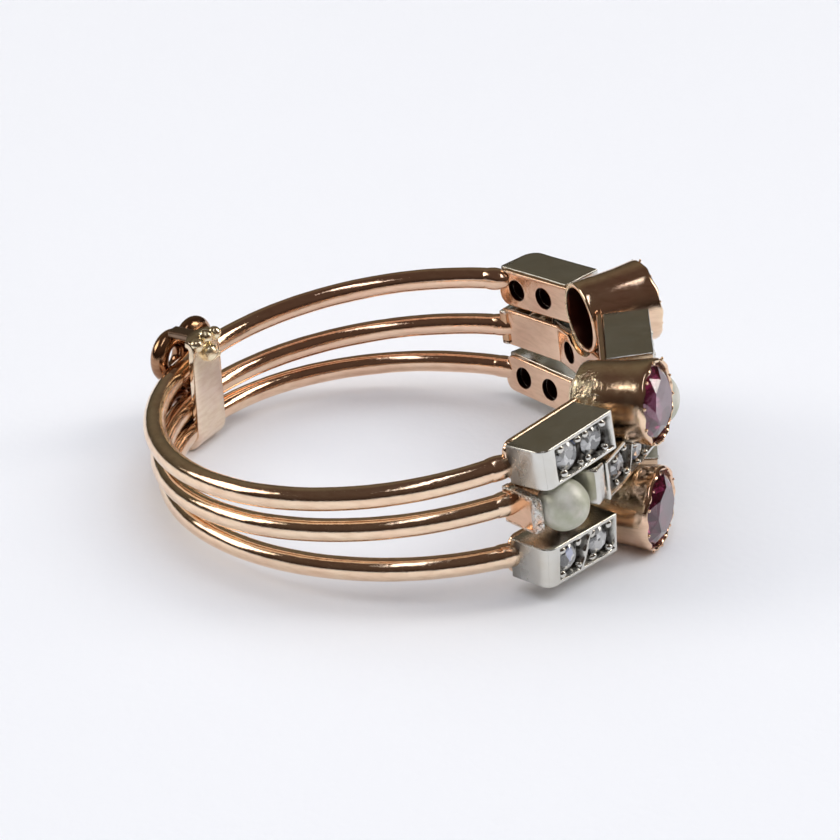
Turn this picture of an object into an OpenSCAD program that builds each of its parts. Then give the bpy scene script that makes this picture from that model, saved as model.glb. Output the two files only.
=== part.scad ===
// Three-band ring lying on its side: the finger axis stands up, the jewelled front faces +X,
// Z is up from the surface that it lies on, and all sizes are in millimetres.
// Three round wires meet in a keeper at the back and fan out to three rows of settings at the
// front. Ruby collets and silver diamond blocks alternate with pearls, row against row.

/* [Shank] */
// Thickness of the round shank wires
wire_d = 0.86; // [0.76:0.02:0.86]
// Radius of each wire's centre line
ring_r = 9.1; // [9.05:0.05:9.2]

/* [Row planes] */
// Height of the top row over the middle one, at the finger axis
top_rise = 1.6; // [1.55:0.05:1.9]
// Depth of the bottom row under the middle one, at the finger axis
bottom_drop = 1.6; // [1.6:0.02:1.9]
// Upward lean of the top row towards the front, in degrees
top_lean = 9; // [8:0.5:10]
// Upward lean of the middle row, in degrees
middle_lean = 7.4; // [7:0.1:7.4]
// Upward lean of the bottom row, in degrees
bottom_lean = 2.7; // [2.7:0.1:3.2]

/* [Silver blocks] */
// Distance from the front arc's centre to the settings' inner faces
setting_in = 10.2; // [10.1:0.05:10.3]
// Depth of a block from its inner to its outer face
block_t = 2; // [1.9:0.05:2.1]
// Height of a block
block_h = 1.54; // [1.46:0.02:1.6]
// Length of a block at the end of a row
end_len = 3.85; // [3.8:0.05:3.9]
// Length of a block at the front of a row
front_len = 4.2; // [4:0.1:4.2]
// Length of a block in the middle row
middle_len = 4.56; // [4.4:0.04:4.56]

/* [Stones] */
// Width of a ruby
ruby_d = 3; // [2.9:0.05:3]
// Width of a diamond
diamond_d = 1.14; // [1.1:0.02:1.2]
// Width of the two side pearls
pearl_d = 1.9; // [1.7:0.02:1.9]
// Width of the front pearl
front_pearl_d = 2.24; // [2:0.02:2.24]

/* [Keeper] */
// Direction of the keeper, in degrees round from the front
keeper_angle = 154; // [150:1:156]
// Width of the keeper's strap along the wires
keeper_w = 2; // [1.6:0.1:2]

/* [Hidden] */
$fn = 64;

// Small gap between neighbouring pieces
gap = 0.02;
// Overshoot that keeps cuts clean
over = 0.2;

// Columns of a row: offset of its circle towards the front, height over the middle row, lean,
// distance of its settings' arc centre behind the finger axis, how far the settings hang under
// the wire, sideways roll of the wire, angle at which the wire ends and direction of the far
// end block
SHIFT = 0;
RISE = 1;
LEAN = 2;
ARC_BACK = 3;
SINK = 4;
ROLL = 5;
WIRE_END = 6;
FAR_END = 7;
TOP = [-0.22, top_rise, top_lean, 2.5, 0.08, 1.6, 61.5, 41.4];
MIDDLE = [0.05, 0, middle_lean, 2.45, 0.04, -0.5, 61.5, 41];
BOTTOM = [0.38, -bottom_drop, bottom_lean, 2.35, 0.08, 0, 63, 40.2];

// Sides of the ring: the near side is -Y and the far side +Y
NEAR = -1;
FAR = 1;

// Directions of the settings from the arc's centre
end_angle = 41;
ruby_angle = 21.5;
middle_angle = 24;
side_pearl_angle = 44.7;
end_wall_angle = 51;

// Columns of a block: its length, the radius of its outer corner at the wire's end, the place of
// the rib between its stones, and the two stones: place along the row away from the front,
// height over the block's middle, and width
LEN = 0;
CORNER = 1;
RIB = 2;
STONES = 3;
ALONG = 0;
UP = 1;
WIDE = 2;
END_BLOCK = [end_len, 0.6, 0.05, [[0.84, 0, diamond_d], [-0.74, 0, diamond_d]]];
TOP_NEAR_BLOCK = [end_len, 0.4, -0.22, [[0.46, 0, diamond_d], [-0.9, 0, diamond_d]]];
BOTTOM_NEAR_BLOCK = [end_len, 0.4, -0.2, [[0.66, 0, diamond_d], [-1.05, 0, diamond_d]]];
FRONT_BLOCK = [front_len, 0, 0, [[0.95, 0, diamond_d], [-0.95, 0, diamond_d]]];
MIDDLE_NEAR_BLOCK = [middle_len, 0, 0, [[0.95, 0, diamond_d], [-0.95, -0.25, 0.8 * diamond_d]]];
MIDDLE_FAR_BLOCK = [middle_len, 0, -0.3, [[0.55, 0, diamond_d], [-1.15, -0.25, 0.8 * diamond_d]]];

// Gold behind the silver; it reaches halfway into the wall of the collet beside it, and its
// corners at the wire's end are round
back_t = 0.22;
back_reach = 0.12;
back_corner = 0.45;
centre_back_half = 2.22;
side_back_half = 1.56;
end_back_reach = 1.76;

// Stone seats in the silver, sunk in a shallow tray with a slanted rib between the two stones
tray_depth = 0.1;
tray_border = 0.13;
rib_w = 0.12;
rib_slant = 25;
seat_depth = 0.32;
seat_cone = 0.2;
light_hole_share = 0.4;
grain_r = 0.12;
grain_share = 0.39;

// Ruby collets, measured along their own axis from the inner face
collet_len = 2.9;
collet_lip_t = 0.24;
collet_neck_r = 1.46;
collet_neck_at = 0.5;
collet_rim_r = 1.6;
collet_bore_r = 1.2;
collet_seat_at = 2.1;
ruby_girdle_at = 2.52;
notch_r = 0.14;
notch_count = 8;
// Room left round a collet in the row between the collets
collet_room = 0.03;

// Cut of the stones, as shares of the stone's radius
table_share = 0.6;
crown_share = 0.3;
star_share = 0.55;
girdle_share = 0.06;
pavilion_share = 0.76;
facet_count = 8;

// Pearls in the middle row; the front one hangs lower, between the upper and the lower row
front_drop = 0.2;
pearl_out = 12.04;
pearl_seat_r = 0.55;
pearl_seat_gap = 0.72;
peg_r = 0.18;
peg_hole_r = 0.22;
peg_reach = 0.2;
end_wall_t = 0.34;
end_wall_out = 12.1;
end_wall_h = 1.46;
end_wall_corner = 0.35;

// Upright silver bars beside the pearls
bar_w = 0.74;
bar_h = 1.3;
outer_bar_h = 1.4;
outer_bar_up = 0.2;
outer_bar_along = middle_len / 2 + 0.2;
centre_bar_along = front_pearl_d / 2 + 0.1;

// Keeper: a strap inside the wires, folded out under and over them to an openwork knot of
// four loops round a bead
keeper_in = 8.15;
keeper_lean = 0.2;
keeper_h = 4.65;
keeper_t = 0.3;
keeper_low_bend = 0.75;
keeper_high_bend = 0.45;
tab_from = 8.95;
tab_end = 9.9;
tab_w = 0.9;
knot_out = 10.02;
knot_turn = -4.5;
knot_z = 2.3;
loop_r = 0.72;
loop_wire_r = 0.36;
loop_side = 0.76;
loop_up = 1.16;
knot_bead_r = 0.6;
// Solder beads on the strap: distance from the finger axis, place along the strap and height
BEADS = [
    [8.45, -0.75, 4.55],
    [8.5, -0.1, 4.6],
    [8.45, 0.7, 4.55],
    [8.24, -0.05, 3.95],
    [8.22, -0.75, 3.8],
];
bead_r = 0.26;

// Height of the middle row's centre: the bottom collets' rims touch the ground
rim_out = setting_in + collet_len;
rim_x = (rim_out * cos(ruby_angle) - BOTTOM[ARC_BACK] - BOTTOM[SHIFT]) * cos(bottom_lean);
ring_z = bottom_drop + (BOTTOM[SINK] + collet_rim_r) * cos(bottom_lean) - rim_x * tan(bottom_lean);
// Offset of the finger axis that centres the whole ring on the origin
ring_x = -0.458;

gold = "#d9a184";
silver = "#b4b4ae";
ruby_red = "#8d1f45";
pearl_white = "#dcdac4";
diamond_white = "#d6d6da";

// Places

function end_at(row, side) = side == FAR ? row[FAR_END] : end_angle;
function end_kind(row, side) =
    side == FAR ? END_BLOCK : row == TOP ? TOP_NEAR_BLOCK : BOTTOM_NEAR_BLOCK;
function middle_kind(side) = side == FAR ? MIDDLE_FAR_BLOCK : MIDDLE_NEAR_BLOCK;

// Half length of a back plate that ends in the wall of a collet, turned away from it by an angle
function reach_at(turn) = (setting_in * sin(turn) - collet_bore_r - back_reach) / cos(turn);

module on_row(row)
    translate([ring_x + row[SHIFT], 0, ring_z + row[RISE]])
        rotate([0, -row[LEAN], 0])
            children();

// Puts X along the setting's outward axis, Y along the row away from the front, Z across it
module at_setting(row, side, angle)
    on_row(row)
        translate([-row[ARC_BACK] - row[SHIFT], 0, -row[SINK]])
            mirror([0, side == NEAR ? 1 : 0, 0])
                rotate([0, 0, angle])
                    children();

module along_x(from)
    translate([from, 0, 0])
        rotate([0, 90, 0])
            children();

module box_x(from, to, y_from, y_to, h)
    translate([from, y_from, -h / 2])
        cube([to - from, y_to - y_from, h]);

// Shared shapes

module wire(row, extra = 0)
    on_row(row)
        rotate([row[ROLL], 0, 0])
            rotate([0, 0, row[WIRE_END]])
                rotate_extrude(angle = 360 - 2 * row[WIRE_END])
                    translate([ring_r, 0])
                        circle(d = wire_d + 2 * extra);

// Gold plate against the backs of the settings, with two round corners at its far end
module back_plate(from, to, corner)
    translate([setting_in, 0, 0])
        rotate([90, 0, 90])
            linear_extrude(height = back_t) {
                translate([from, -block_h / 2])
                    square([to - corner - from, block_h]);
                translate([from, -block_h / 2 + corner])
                    square([to - from, block_h - 2 * corner]);
                for (up = [-1, 1])
                    translate([to - corner, up * (block_h / 2 - corner)])
                        circle(r = corner);
            }

module light_holes(kind, from, to)
    for (stone = kind[STONES])
        translate([0, stone[ALONG], stone[UP]])
            along_x(from)
                cylinder(r = light_hole_share * stone[WIDE], h = to - from);

// Gold pieces

module collet()
    along_x(setting_in)
        difference() {
            rotate_extrude() {
                polygon([
                    [collet_bore_r, collet_lip_t / 2],
                    [collet_bore_r + collet_lip_t, collet_lip_t / 2],
                    [collet_neck_r, collet_neck_at],
                    [collet_rim_r, collet_len],
                    [ruby_d / 2 + gap, collet_len],
                    [ruby_d / 2 + gap, ruby_girdle_at - gap],
                    [collet_bore_r, collet_seat_at],
                ]);
                translate([collet_bore_r + collet_lip_t / 2, collet_lip_t / 2])
                    circle(d = collet_lip_t);
            }
            for (k = [0 : notch_count - 1])
                rotate([0, 0, (k + 0.5) * 360 / notch_count])
                    translate([ruby_d / 2 - over, 0, collet_len])
                        rotate([0, 90, 0])
                            cylinder(r = notch_r, h = 2 * over + collet_rim_r - ruby_d / 2);
        }

// Room of the upper and the lower collet on one side, cut out of the row between them
module collets_room(side)
    for (row = [TOP, BOTTOM])
        at_setting(row, side, ruby_angle)
            along_x(setting_in - over)
                cylinder(r1 = collet_neck_r + collet_room, r2 = collet_rim_r + collet_room,
                    h = collet_len + 2 * over);

// Room of a silver end block and all that lies outside it
module end_block_room()
    box_x(setting_in + back_t, setting_in + 2 * block_t, -end_len / 2, end_len / 2 + gap, 2 * block_h);

module jewelled_band(row)
    color(gold)
        difference() {
            union() {
                difference() {
                    wire(row);
                    for (side = [NEAR, FAR])
                        at_setting(row, side, end_at(row, side))
                            end_block_room();
                }
                for (side = [NEAR, FAR]) {
                    at_setting(row, side, end_at(row, side))
                        back_plate(-reach_at(end_at(row, side) - ruby_angle), end_len / 2,
                            back_corner);
                    at_setting(row, side, ruby_angle)
                        collet();
                }
                at_setting(row, FAR, 0)
                    box_x(setting_in, setting_in + back_t,
                        -reach_at(ruby_angle), reach_at(ruby_angle), block_h);
            }
            for (side = [NEAR, FAR])
                at_setting(row, side, end_at(row, side))
                    light_holes(end_kind(row, side), setting_in - 2 * over, setting_in + 2 * back_t);
            at_setting(row, FAR, 0)
                light_holes(FRONT_BLOCK, setting_in - over, setting_in + 2 * back_t);
        }

module pearl_seat(d)
    difference() {
        union() {
            along_x(setting_in + back_t / 2)
                cylinder(r = pearl_seat_r, h = pearl_out - pearl_seat_gap - setting_in - back_t / 2);
            along_x(setting_in + back_t / 2)
                cylinder(r = peg_r, h = pearl_out - peg_reach - setting_in - back_t / 2);
        }
        difference() {
            translate([pearl_out, 0, 0])
                sphere(r = d / 2 + gap);
            along_x(setting_in)
                cylinder(r = peg_r, h = pearl_out);
        }
    }

module end_wall()
    rotate([90, 0, 0])
        linear_extrude(height = end_wall_t) {
            translate([setting_in, -end_wall_h / 2])
                square([end_wall_out - end_wall_corner - setting_in, end_wall_h]);
            translate([setting_in, -end_wall_h / 2 + end_wall_corner])
                square([end_wall_out - setting_in, end_wall_h - 2 * end_wall_corner]);
            for (up = [-1, 1])
                translate([end_wall_out - end_wall_corner, up * (end_wall_h / 2 - end_wall_corner)])
                    circle(r = end_wall_corner);
        }

module middle_band()
    color(gold)
        difference() {
            union() {
                wire(MIDDLE);
                for (side = [NEAR, FAR]) {
                    at_setting(MIDDLE, side, end_angle)
                        box_x(setting_in, setting_in + back_t,
                            -side_back_half, end_back_reach, block_h);
                    at_setting(MIDDLE, side, end_wall_angle)
                        end_wall();
                    at_setting(MIDDLE, side, side_pearl_angle)
                        pearl_seat(pearl_d);
                    at_setting(MIDDLE, side, middle_angle)
                        box_x(setting_in, setting_in + back_t,
                            -centre_back_half, side_back_half, block_h);
                }
                at_setting(MIDDLE, FAR, 0) {
                    box_x(setting_in, setting_in + back_t,
                        -centre_back_half, centre_back_half, block_h);
                    translate([0, 0, -front_drop])
                        pearl_seat(front_pearl_d);
                }
            }
            for (side = [NEAR, FAR])
                collets_room(side);
            for (side = [NEAR, FAR])
                at_setting(MIDDLE, side, middle_angle)
                    light_holes(middle_kind(side), setting_in - over, setting_in + 2 * back_t);
        }

// The strap's outline across the wires: its inner side, which leans out, and its two folds
module strap_outline(inset, low, high)
    {
        x = keeper_in + inset;
        top_x = x + keeper_lean;
        z0 = inset;
        z1 = keeper_h - inset;
        polygon([
            [x, z0 + low], [tab_end, z0 + low], [tab_end, z1 - high], [top_x, z1 - high],
        ]);
        translate([x + low, z0])
            square([tab_end + inset - x - low, low]);
        translate([top_x + high, z1 - high])
            square([tab_end + inset - top_x - high, high]);
        translate([tab_end - over, z0 + low])
            square([over + inset, z1 - high - z0 - low]);
        translate([x + low, z0 + low])
            circle(r = low);
        translate([top_x + high, z1 - high])
            circle(r = high);
    }

module strap()
    difference() {
        rotate([90, 0, 0])
            linear_extrude(height = keeper_w, center = true)
                strap_outline(0, keeper_low_bend, keeper_high_bend);
        rotate([90, 0, 0])
            linear_extrude(height = keeper_w + 2 * over, center = true)
                strap_outline(keeper_t, keeper_low_bend - keeper_t, keeper_high_bend - keeper_t);
        for (end = [-1, 1])
            translate([tab_from, end * (tab_w + keeper_w) / 2 - keeper_w / 2, -over])
                cube([tab_end + over - tab_from, keeper_w, keeper_h + 2 * over]);
    }

module strap_beads()
    for (bead = BEADS)
        translate([bead[0], bead[1], bead[2]])
            sphere(r = bead_r);

module knot()
    translate([knot_out, 0, knot_z]) {
        for (j = [-1, 1], k = [-1, 1])
            translate([0, j * loop_side, k * loop_up])
                rotate([0, 90, 0])
                    rotate_extrude()
                        translate([loop_r, 0])
                            circle(r = loop_wire_r);
        sphere(r = knot_bead_r);
    }

module keeper()
    color(gold)
        difference() {
            translate([ring_x, 0, 0])
                rotate([0, 0, keeper_angle]) {
                    strap();
                    strap_beads();
                    rotate([0, 0, knot_turn])
                        knot();
                }
            for (row = [TOP, MIDDLE, BOTTOM])
                wire(row, gap);
        }

// Silver pieces

module stone_seat(stone)
    {
        r = stone[WIDE] / 2 + gap;
        hole_r = light_hole_share * stone[WIDE];
        translate([setting_in + block_t, stone[ALONG], stone[UP]]) {
            along_x(-seat_depth)
                cylinder(r = r, h = seat_depth + over);
            along_x(-seat_depth - seat_cone)
                cylinder(r1 = hole_r, r2 = r, h = seat_cone);
            along_x(-block_t - over)
                cylinder(r = hole_r, h = block_t);
        }
    }

module grains(stone)
    for (j = [-1, 1], k = [-1, 1])
        translate([setting_in + block_t - tray_depth / 2, stone[ALONG], stone[UP]])
            translate([0, j * grain_share * stone[WIDE], k * grain_share * stone[WIDE]])
                sphere(r = grain_r);

module block(kind)
    color(silver) {
        inner = setting_in + back_t + gap;
        outer = setting_in + block_t;
        floor_x = outer - tray_depth;
        half = kind[LEN] / 2;
        corner_r = kind[CORNER];
        difference() {
            translate([0, 0, -block_h / 2])
                linear_extrude(height = block_h) {
                    translate([inner, -half])
                        square([outer - inner, 2 * half - corner_r]);
                    translate([inner, -half])
                        square([outer - inner - corner_r, 2 * half]);
                    translate([outer - corner_r, half - corner_r])
                        circle(r = corner_r);
                }
            difference() {
                box_x(floor_x, outer + over,
                    -half + tray_border, half - corner_r - tray_border, block_h - 2 * tray_border);
                translate([0, kind[RIB], 0])
                    rotate([rib_slant, 0, 0])
                        box_x(inner, outer + over, -rib_w / 2, rib_w / 2, 2 * block_h);
            }
            for (stone = kind[STONES])
                stone_seat(stone);
        }
        for (stone = kind[STONES])
            grains(stone);
    }

module middle_block(side)
    color(silver)
        difference() {
            at_setting(MIDDLE, side, middle_angle)
                block(middle_kind(side));
            collets_room(side);
        }

module outer_bar(side)
    color(silver)
        difference() {
            at_setting(MIDDLE, side, middle_angle)
                translate([0, 0, outer_bar_up])
                    box_x(setting_in, setting_in + block_t,
                        outer_bar_along, outer_bar_along + bar_w, outer_bar_h);
            for (angle = [middle_angle, end_angle])
                at_setting(MIDDLE, side, angle)
                    box_x(setting_in - 2, setting_in + back_t + gap, -end_len, end_len, 2 * block_h);
        }

module inner_bar(side)
    color(silver)
        at_setting(MIDDLE, side, 0)
            translate([0, 0, -front_drop])
                box_x(setting_in + back_t + gap, setting_in + block_t,
                    centre_bar_along, centre_bar_along + bar_w, bar_h);

// Stones

function ring_points(r, z, count, turn) =
    [for (k = [0 : count - 1]) [z, r * cos((k + turn) * 360 / count), r * sin((k + turn) * 360 / count)]];

// A round cut with a table, a row of star facets, a belt of kite halves, a girdle and a pavilion.
// Its axis is X, with the girdle's lower edge at 0 and the table on top.
module cut_stone(d) {
    n = facet_count;
    r = d / 2;
    belt = r * girdle_share;
    crown = r * crown_share;
    star_r = r * (table_share + (1 - table_share) * (1 - star_share) + 0.06);
    table = ring_points(r * table_share, belt + crown, n, 0);
    star = ring_points(star_r, belt + crown * (1 - star_share), n, 0.5);
    girdle_top = ring_points(r, belt, 2 * n, 0);
    girdle_low = ring_points(r, 0, 2 * n, 0);
    culet = [[-r * pavilion_share, 0, 0]];
    t0 = 0;
    s0 = n;
    g0 = 2 * n;
    l0 = 4 * n;
    c0 = 6 * n;
    polyhedron(
        points = concat(table, star, girdle_top, girdle_low, culet),
        faces = concat(
            [[for (k = [n - 1 : -1 : 0]) t0 + k]],
            [for (k = [0 : n - 1]) [t0 + k, t0 + (k + 1) % n, s0 + k]],
            [for (k = [0 : n - 1]) [t0 + k, s0 + k, g0 + 2 * k]],
            [for (k = [0 : n - 1]) [t0 + (k + 1) % n, g0 + (2 * k + 2) % (2 * n), s0 + k]],
            [for (k = [0 : n - 1]) [s0 + k, g0 + 2 * k + 1, g0 + 2 * k]],
            [for (k = [0 : n - 1]) [s0 + k, g0 + (2 * k + 2) % (2 * n), g0 + 2 * k + 1]],
            [for (k = [0 : 2 * n - 1]) [g0 + k, g0 + (k + 1) % (2 * n), l0 + (k + 1) % (2 * n)]],
            [for (k = [0 : 2 * n - 1]) [g0 + k, l0 + (k + 1) % (2 * n), l0 + k]],
            [for (k = [0 : 2 * n - 1]) [l0 + k, l0 + (k + 1) % (2 * n), c0]]
        )
    );
}

module ruby(row, side)
    color(ruby_red)
        at_setting(row, side, ruby_angle)
            translate([setting_in + ruby_girdle_at, 0, 0])
                cut_stone(ruby_d);

module diamond(row, side, angle, kind, k)
    color(diamond_white)
        at_setting(row, side, angle)
            translate([setting_in + block_t - seat_depth + gap,
                kind[STONES][k][ALONG], kind[STONES][k][UP]])
                cut_stone(kind[STONES][k][WIDE]);

module pearl(side, angle, drop, d)
    color(pearl_white)
        at_setting(MIDDLE, side, angle)
            translate([pearl_out, 0, -drop])
                difference() {
                    sphere(r = d / 2);
                    along_x(-d)
                        cylinder(r = peg_hole_r, h = d - peg_reach + gap);
                }

// The ring

jewelled_band(TOP);  // top_band
middle_band();
jewelled_band(BOTTOM);  // bottom_band
keeper();

at_setting(TOP, NEAR, end_at(TOP, NEAR)) block(TOP_NEAR_BLOCK);  // top_near_block
at_setting(TOP, FAR, 0) block(FRONT_BLOCK);  // top_front_block
at_setting(TOP, FAR, end_at(TOP, FAR)) block(END_BLOCK);  // top_far_block
middle_block(NEAR);  // middle_near_block
middle_block(FAR);  // middle_far_block
at_setting(BOTTOM, NEAR, end_at(BOTTOM, NEAR)) block(BOTTOM_NEAR_BLOCK);  // bottom_near_block
at_setting(BOTTOM, FAR, 0) block(FRONT_BLOCK);  // bottom_front_block
at_setting(BOTTOM, FAR, end_at(BOTTOM, FAR)) block(END_BLOCK);  // bottom_far_block

outer_bar(NEAR);  // near_outer_bar
inner_bar(NEAR);  // near_inner_bar
inner_bar(FAR);  // far_inner_bar
outer_bar(FAR);  // far_outer_bar

ruby(TOP, NEAR);  // top_near_ruby
ruby(TOP, FAR);  // top_far_ruby
ruby(BOTTOM, NEAR);  // bottom_near_ruby
ruby(BOTTOM, FAR);  // bottom_far_ruby

pearl(NEAR, side_pearl_angle, 0, pearl_d);  // near_pearl
pearl(FAR, 0, front_drop, front_pearl_d);  // front_pearl
pearl(FAR, side_pearl_angle, 0, pearl_d);  // far_pearl

diamond(TOP, NEAR, end_at(TOP, NEAR), TOP_NEAR_BLOCK, 0);  // top_near_diamond_1
diamond(TOP, NEAR, end_at(TOP, NEAR), TOP_NEAR_BLOCK, 1);  // top_near_diamond_2
diamond(TOP, FAR, 0, FRONT_BLOCK, 1);  // top_front_diamond_1
diamond(TOP, FAR, 0, FRONT_BLOCK, 0);  // top_front_diamond_2
diamond(TOP, FAR, end_at(TOP, FAR), END_BLOCK, 1);  // top_far_diamond_1
diamond(TOP, FAR, end_at(TOP, FAR), END_BLOCK, 0);  // top_far_diamond_2
diamond(MIDDLE, NEAR, middle_angle, MIDDLE_NEAR_BLOCK, 0);  // middle_near_diamond_1
diamond(MIDDLE, NEAR, middle_angle, MIDDLE_NEAR_BLOCK, 1);  // middle_near_diamond_2
diamond(MIDDLE, FAR, middle_angle, MIDDLE_FAR_BLOCK, 1);  // middle_far_diamond_1
diamond(MIDDLE, FAR, middle_angle, MIDDLE_FAR_BLOCK, 0);  // middle_far_diamond_2
diamond(BOTTOM, NEAR, end_at(BOTTOM, NEAR), BOTTOM_NEAR_BLOCK, 0);  // bottom_near_diamond_1
diamond(BOTTOM, NEAR, end_at(BOTTOM, NEAR), BOTTOM_NEAR_BLOCK, 1);  // bottom_near_diamond_2
diamond(BOTTOM, FAR, 0, FRONT_BLOCK, 1);  // bottom_front_diamond_1
diamond(BOTTOM, FAR, 0, FRONT_BLOCK, 0);  // bottom_front_diamond_2
diamond(BOTTOM, FAR, end_at(BOTTOM, FAR), END_BLOCK, 1);  // bottom_far_diamond_1
diamond(BOTTOM, FAR, end_at(BOTTOM, FAR), END_BLOCK, 0);  // bottom_far_diamond_2
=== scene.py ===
import itertools
import math
from collections import namedtuple

import bmesh
import bpy
from bpy.props import FloatProperty, FloatVectorProperty, IntProperty, PointerProperty
from mathutils import Matrix, Vector, noise


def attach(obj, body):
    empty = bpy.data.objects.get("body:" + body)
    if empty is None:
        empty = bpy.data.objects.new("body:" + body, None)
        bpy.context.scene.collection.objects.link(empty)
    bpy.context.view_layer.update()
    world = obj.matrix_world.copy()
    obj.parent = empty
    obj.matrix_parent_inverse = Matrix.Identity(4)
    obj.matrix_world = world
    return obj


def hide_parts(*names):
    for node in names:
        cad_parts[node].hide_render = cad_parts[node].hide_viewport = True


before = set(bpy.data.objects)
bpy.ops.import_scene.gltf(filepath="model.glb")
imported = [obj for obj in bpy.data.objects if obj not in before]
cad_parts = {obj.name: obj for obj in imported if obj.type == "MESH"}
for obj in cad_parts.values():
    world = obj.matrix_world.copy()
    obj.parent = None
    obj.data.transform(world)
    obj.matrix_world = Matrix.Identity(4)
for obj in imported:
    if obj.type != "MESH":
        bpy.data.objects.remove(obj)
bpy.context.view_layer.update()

bl_info = {
    "name": "Three-wire ruby ring",
    "version": (1, 0, 0),
    "blender": (4, 5, 0),
    "location": "3D View > Sidebar > Ring",
    "description": "Dresses the ring's solids with wires, collets, jewelled blocks, stones and pearls",
    "category": "Object",
}

MM = 0.001

# Sizes shared with the solids

# A row: its shift along X, its rise, its lean in degrees, how far its settings' centre is set back
# and sunk, the roll of its wire, and the angles from the front at which the wire and the far block end
Row = namedtuple("Row", "shift rise lean arc_back sink roll wire_end far_end")
TOP = Row(-0.22, 1.6, 9, 2.5, 0.08, 1.6, 61.5, 41.4)
MIDDLE = Row(0.05, 0, 7.4, 2.45, 0.04, -0.5, 61.5, 41)
BOTTOM = Row(0.38, -1.6, 2.7, 2.35, 0.08, 0, 63, 40.2)
NEAR, FAR = -1, 1
ROWS = {"top": TOP, "middle": MIDDLE, "bottom": BOTTOM}
STONE_ROWS = {"top": TOP, "bottom": BOTTOM}
SIDES = {"near": NEAR, "far": FAR}
CORNERS = ((-1, -1), (-1, 1), (1, -1), (1, 1))

# A stone: its place along and up its block, and its width; a block: its length, its rounded end
# corner, the place of its slanted rib, and its stones
Stone = namedtuple("Stone", "along up wide")
Block = namedtuple("Block", "length corner rib stones")
DIAMOND = 1.14
END_BLOCK = Block(3.85, 0.6, 0.05, (Stone(0.84, 0, DIAMOND), Stone(-0.74, 0, DIAMOND)))
TOP_NEAR_BLOCK = Block(3.85, 0.4, -0.22, (Stone(0.46, 0, DIAMOND), Stone(-0.9, 0, DIAMOND)))
BOTTOM_NEAR_BLOCK = Block(3.85, 0.4, -0.2, (Stone(0.66, 0, DIAMOND), Stone(-1.05, 0, DIAMOND)))
FRONT_BLOCK = Block(4.2, 0, 0, (Stone(0.95, 0, DIAMOND), Stone(-0.95, 0, DIAMOND)))
MIDDLE_NEAR_BLOCK = Block(4.56, 0, 0, (Stone(0.95, 0, DIAMOND), Stone(-0.95, -0.25, 0.8 * DIAMOND)))
MIDDLE_FAR_BLOCK = Block(4.56, 0, -0.3,
                         (Stone(0.55, 0, DIAMOND), Stone(-1.15, -0.25, 0.8 * DIAMOND)))

# Wires, then the settings' inside radius, the blocks, the gap between pieces and the back plates
RING_R, WIRE_R = 9.1, 0.43
SETTING_IN, BLOCK_T, BLOCK_H, GAP, BACK_T = 10.2, 2.0, 1.54, 0.02, 0.22
END_ANGLE, RUBY_ANGLE, MIDDLE_ANGLE, PEARL_ANGLE, WALL_ANGLE = 41, 21.5, 24, 44.7, 51
COLLET_LEN, BORE_R, NECK_R, NECK_AT, RIM_R, SEAT_AT = 2.9, 1.2, 1.46, 0.5, 1.6, 2.1
PEARL_OUT, PEARL_R, FRONT_PEARL_R, FRONT_DROP = 12.04, 0.95, 1.12, 0.2
SEAT_DEPTH, TRAY_DEPTH, BORDER, RIB_SLANT, RIB_W = 0.32, 0.16, 0.17, 25, 0.16
BACK_CORNER, CENTRE_HALF, SIDE_HALF, END_REACH = 0.45, 2.22, 1.56, 1.76
# The keeper's strap, its two bends and tabs, and the knot outside it
KEEPER_ANGLE, KEEPER_IN, KEEPER_LEAN, KEEPER_H, KEEPER_T, KEEPER_W = 154, 8.15, 0.2, 4.65, 0.3, 2.0
LOW_BEND, HIGH_BEND, TAB_FROM, TAB_END, TAB_W = 0.75, 0.45, 8.95, 9.9, 0.9
KNOT_OUT, KNOT_TURN, KNOT_Z, KNOT_WIRE, KNOT_BEAD = 10.02, -4.5, 2.3, 0.36, 0.6
LOOP_R, LOOP_SIDE, LOOP_UP = 0.72, 0.76, 1.16
# Melted beads on the strap: out from the finger's axis, along the strap, up, and radius
BEADS = ((8.46, -0.75, 4.46, 0.28), (8.5, -0.15, 4.52, 0.3), (8.46, 0.6, 4.44, 0.28),
         (8.3, -0.05, 3.95, 0.36), (8.26, -0.6, 3.7, 0.16))
# Pearls: side, angle, drop below the row's middle, and radius
PEARLS = {"near_pearl": (NEAR, PEARL_ANGLE, 0, PEARL_R),
          "front_pearl": (FAR, 0, FRONT_DROP, FRONT_PEARL_R),
          "far_pearl": (FAR, PEARL_ANGLE, 0, PEARL_R)}
CUP_BACK, CUP_R, POST_R, POST_IN, POST_BACK, PEG_R, CORE_R = 0.72, 0.55, 0.5, 0.1, 0.3, 0.17, 0.05
# Spacer bars: angle, place along and up, and height
BARS = {"outer": (MIDDLE_ANGLE, MIDDLE_NEAR_BLOCK.length / 2 + 0.2, 0.2, 1.4),
        "inner": (0, FRONT_PEARL_R + 0.1, -FRONT_DROP, 1.3)}
# The ring's axis in the frame, and the height at which the lower collets' rims reach the floor
RING_X = -0.458
RIM_X = ((SETTING_IN + COLLET_LEN) * math.cos(math.radians(RUBY_ANGLE))
         - BOTTOM.arc_back - BOTTOM.shift) * math.cos(math.radians(BOTTOM.lean))
RING_Z = (-BOTTOM.rise + (BOTTOM.sink + RIM_R) * math.cos(math.radians(BOTTOM.lean))
          - RIM_X * math.tan(math.radians(BOTTOM.lean)))
BLOCK_IN, BLOCK_OUT = SETTING_IN + BACK_T + GAP, SETTING_IN + BLOCK_T

# Sizes of the finish, in millimetres; a share is of a stone's width

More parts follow.
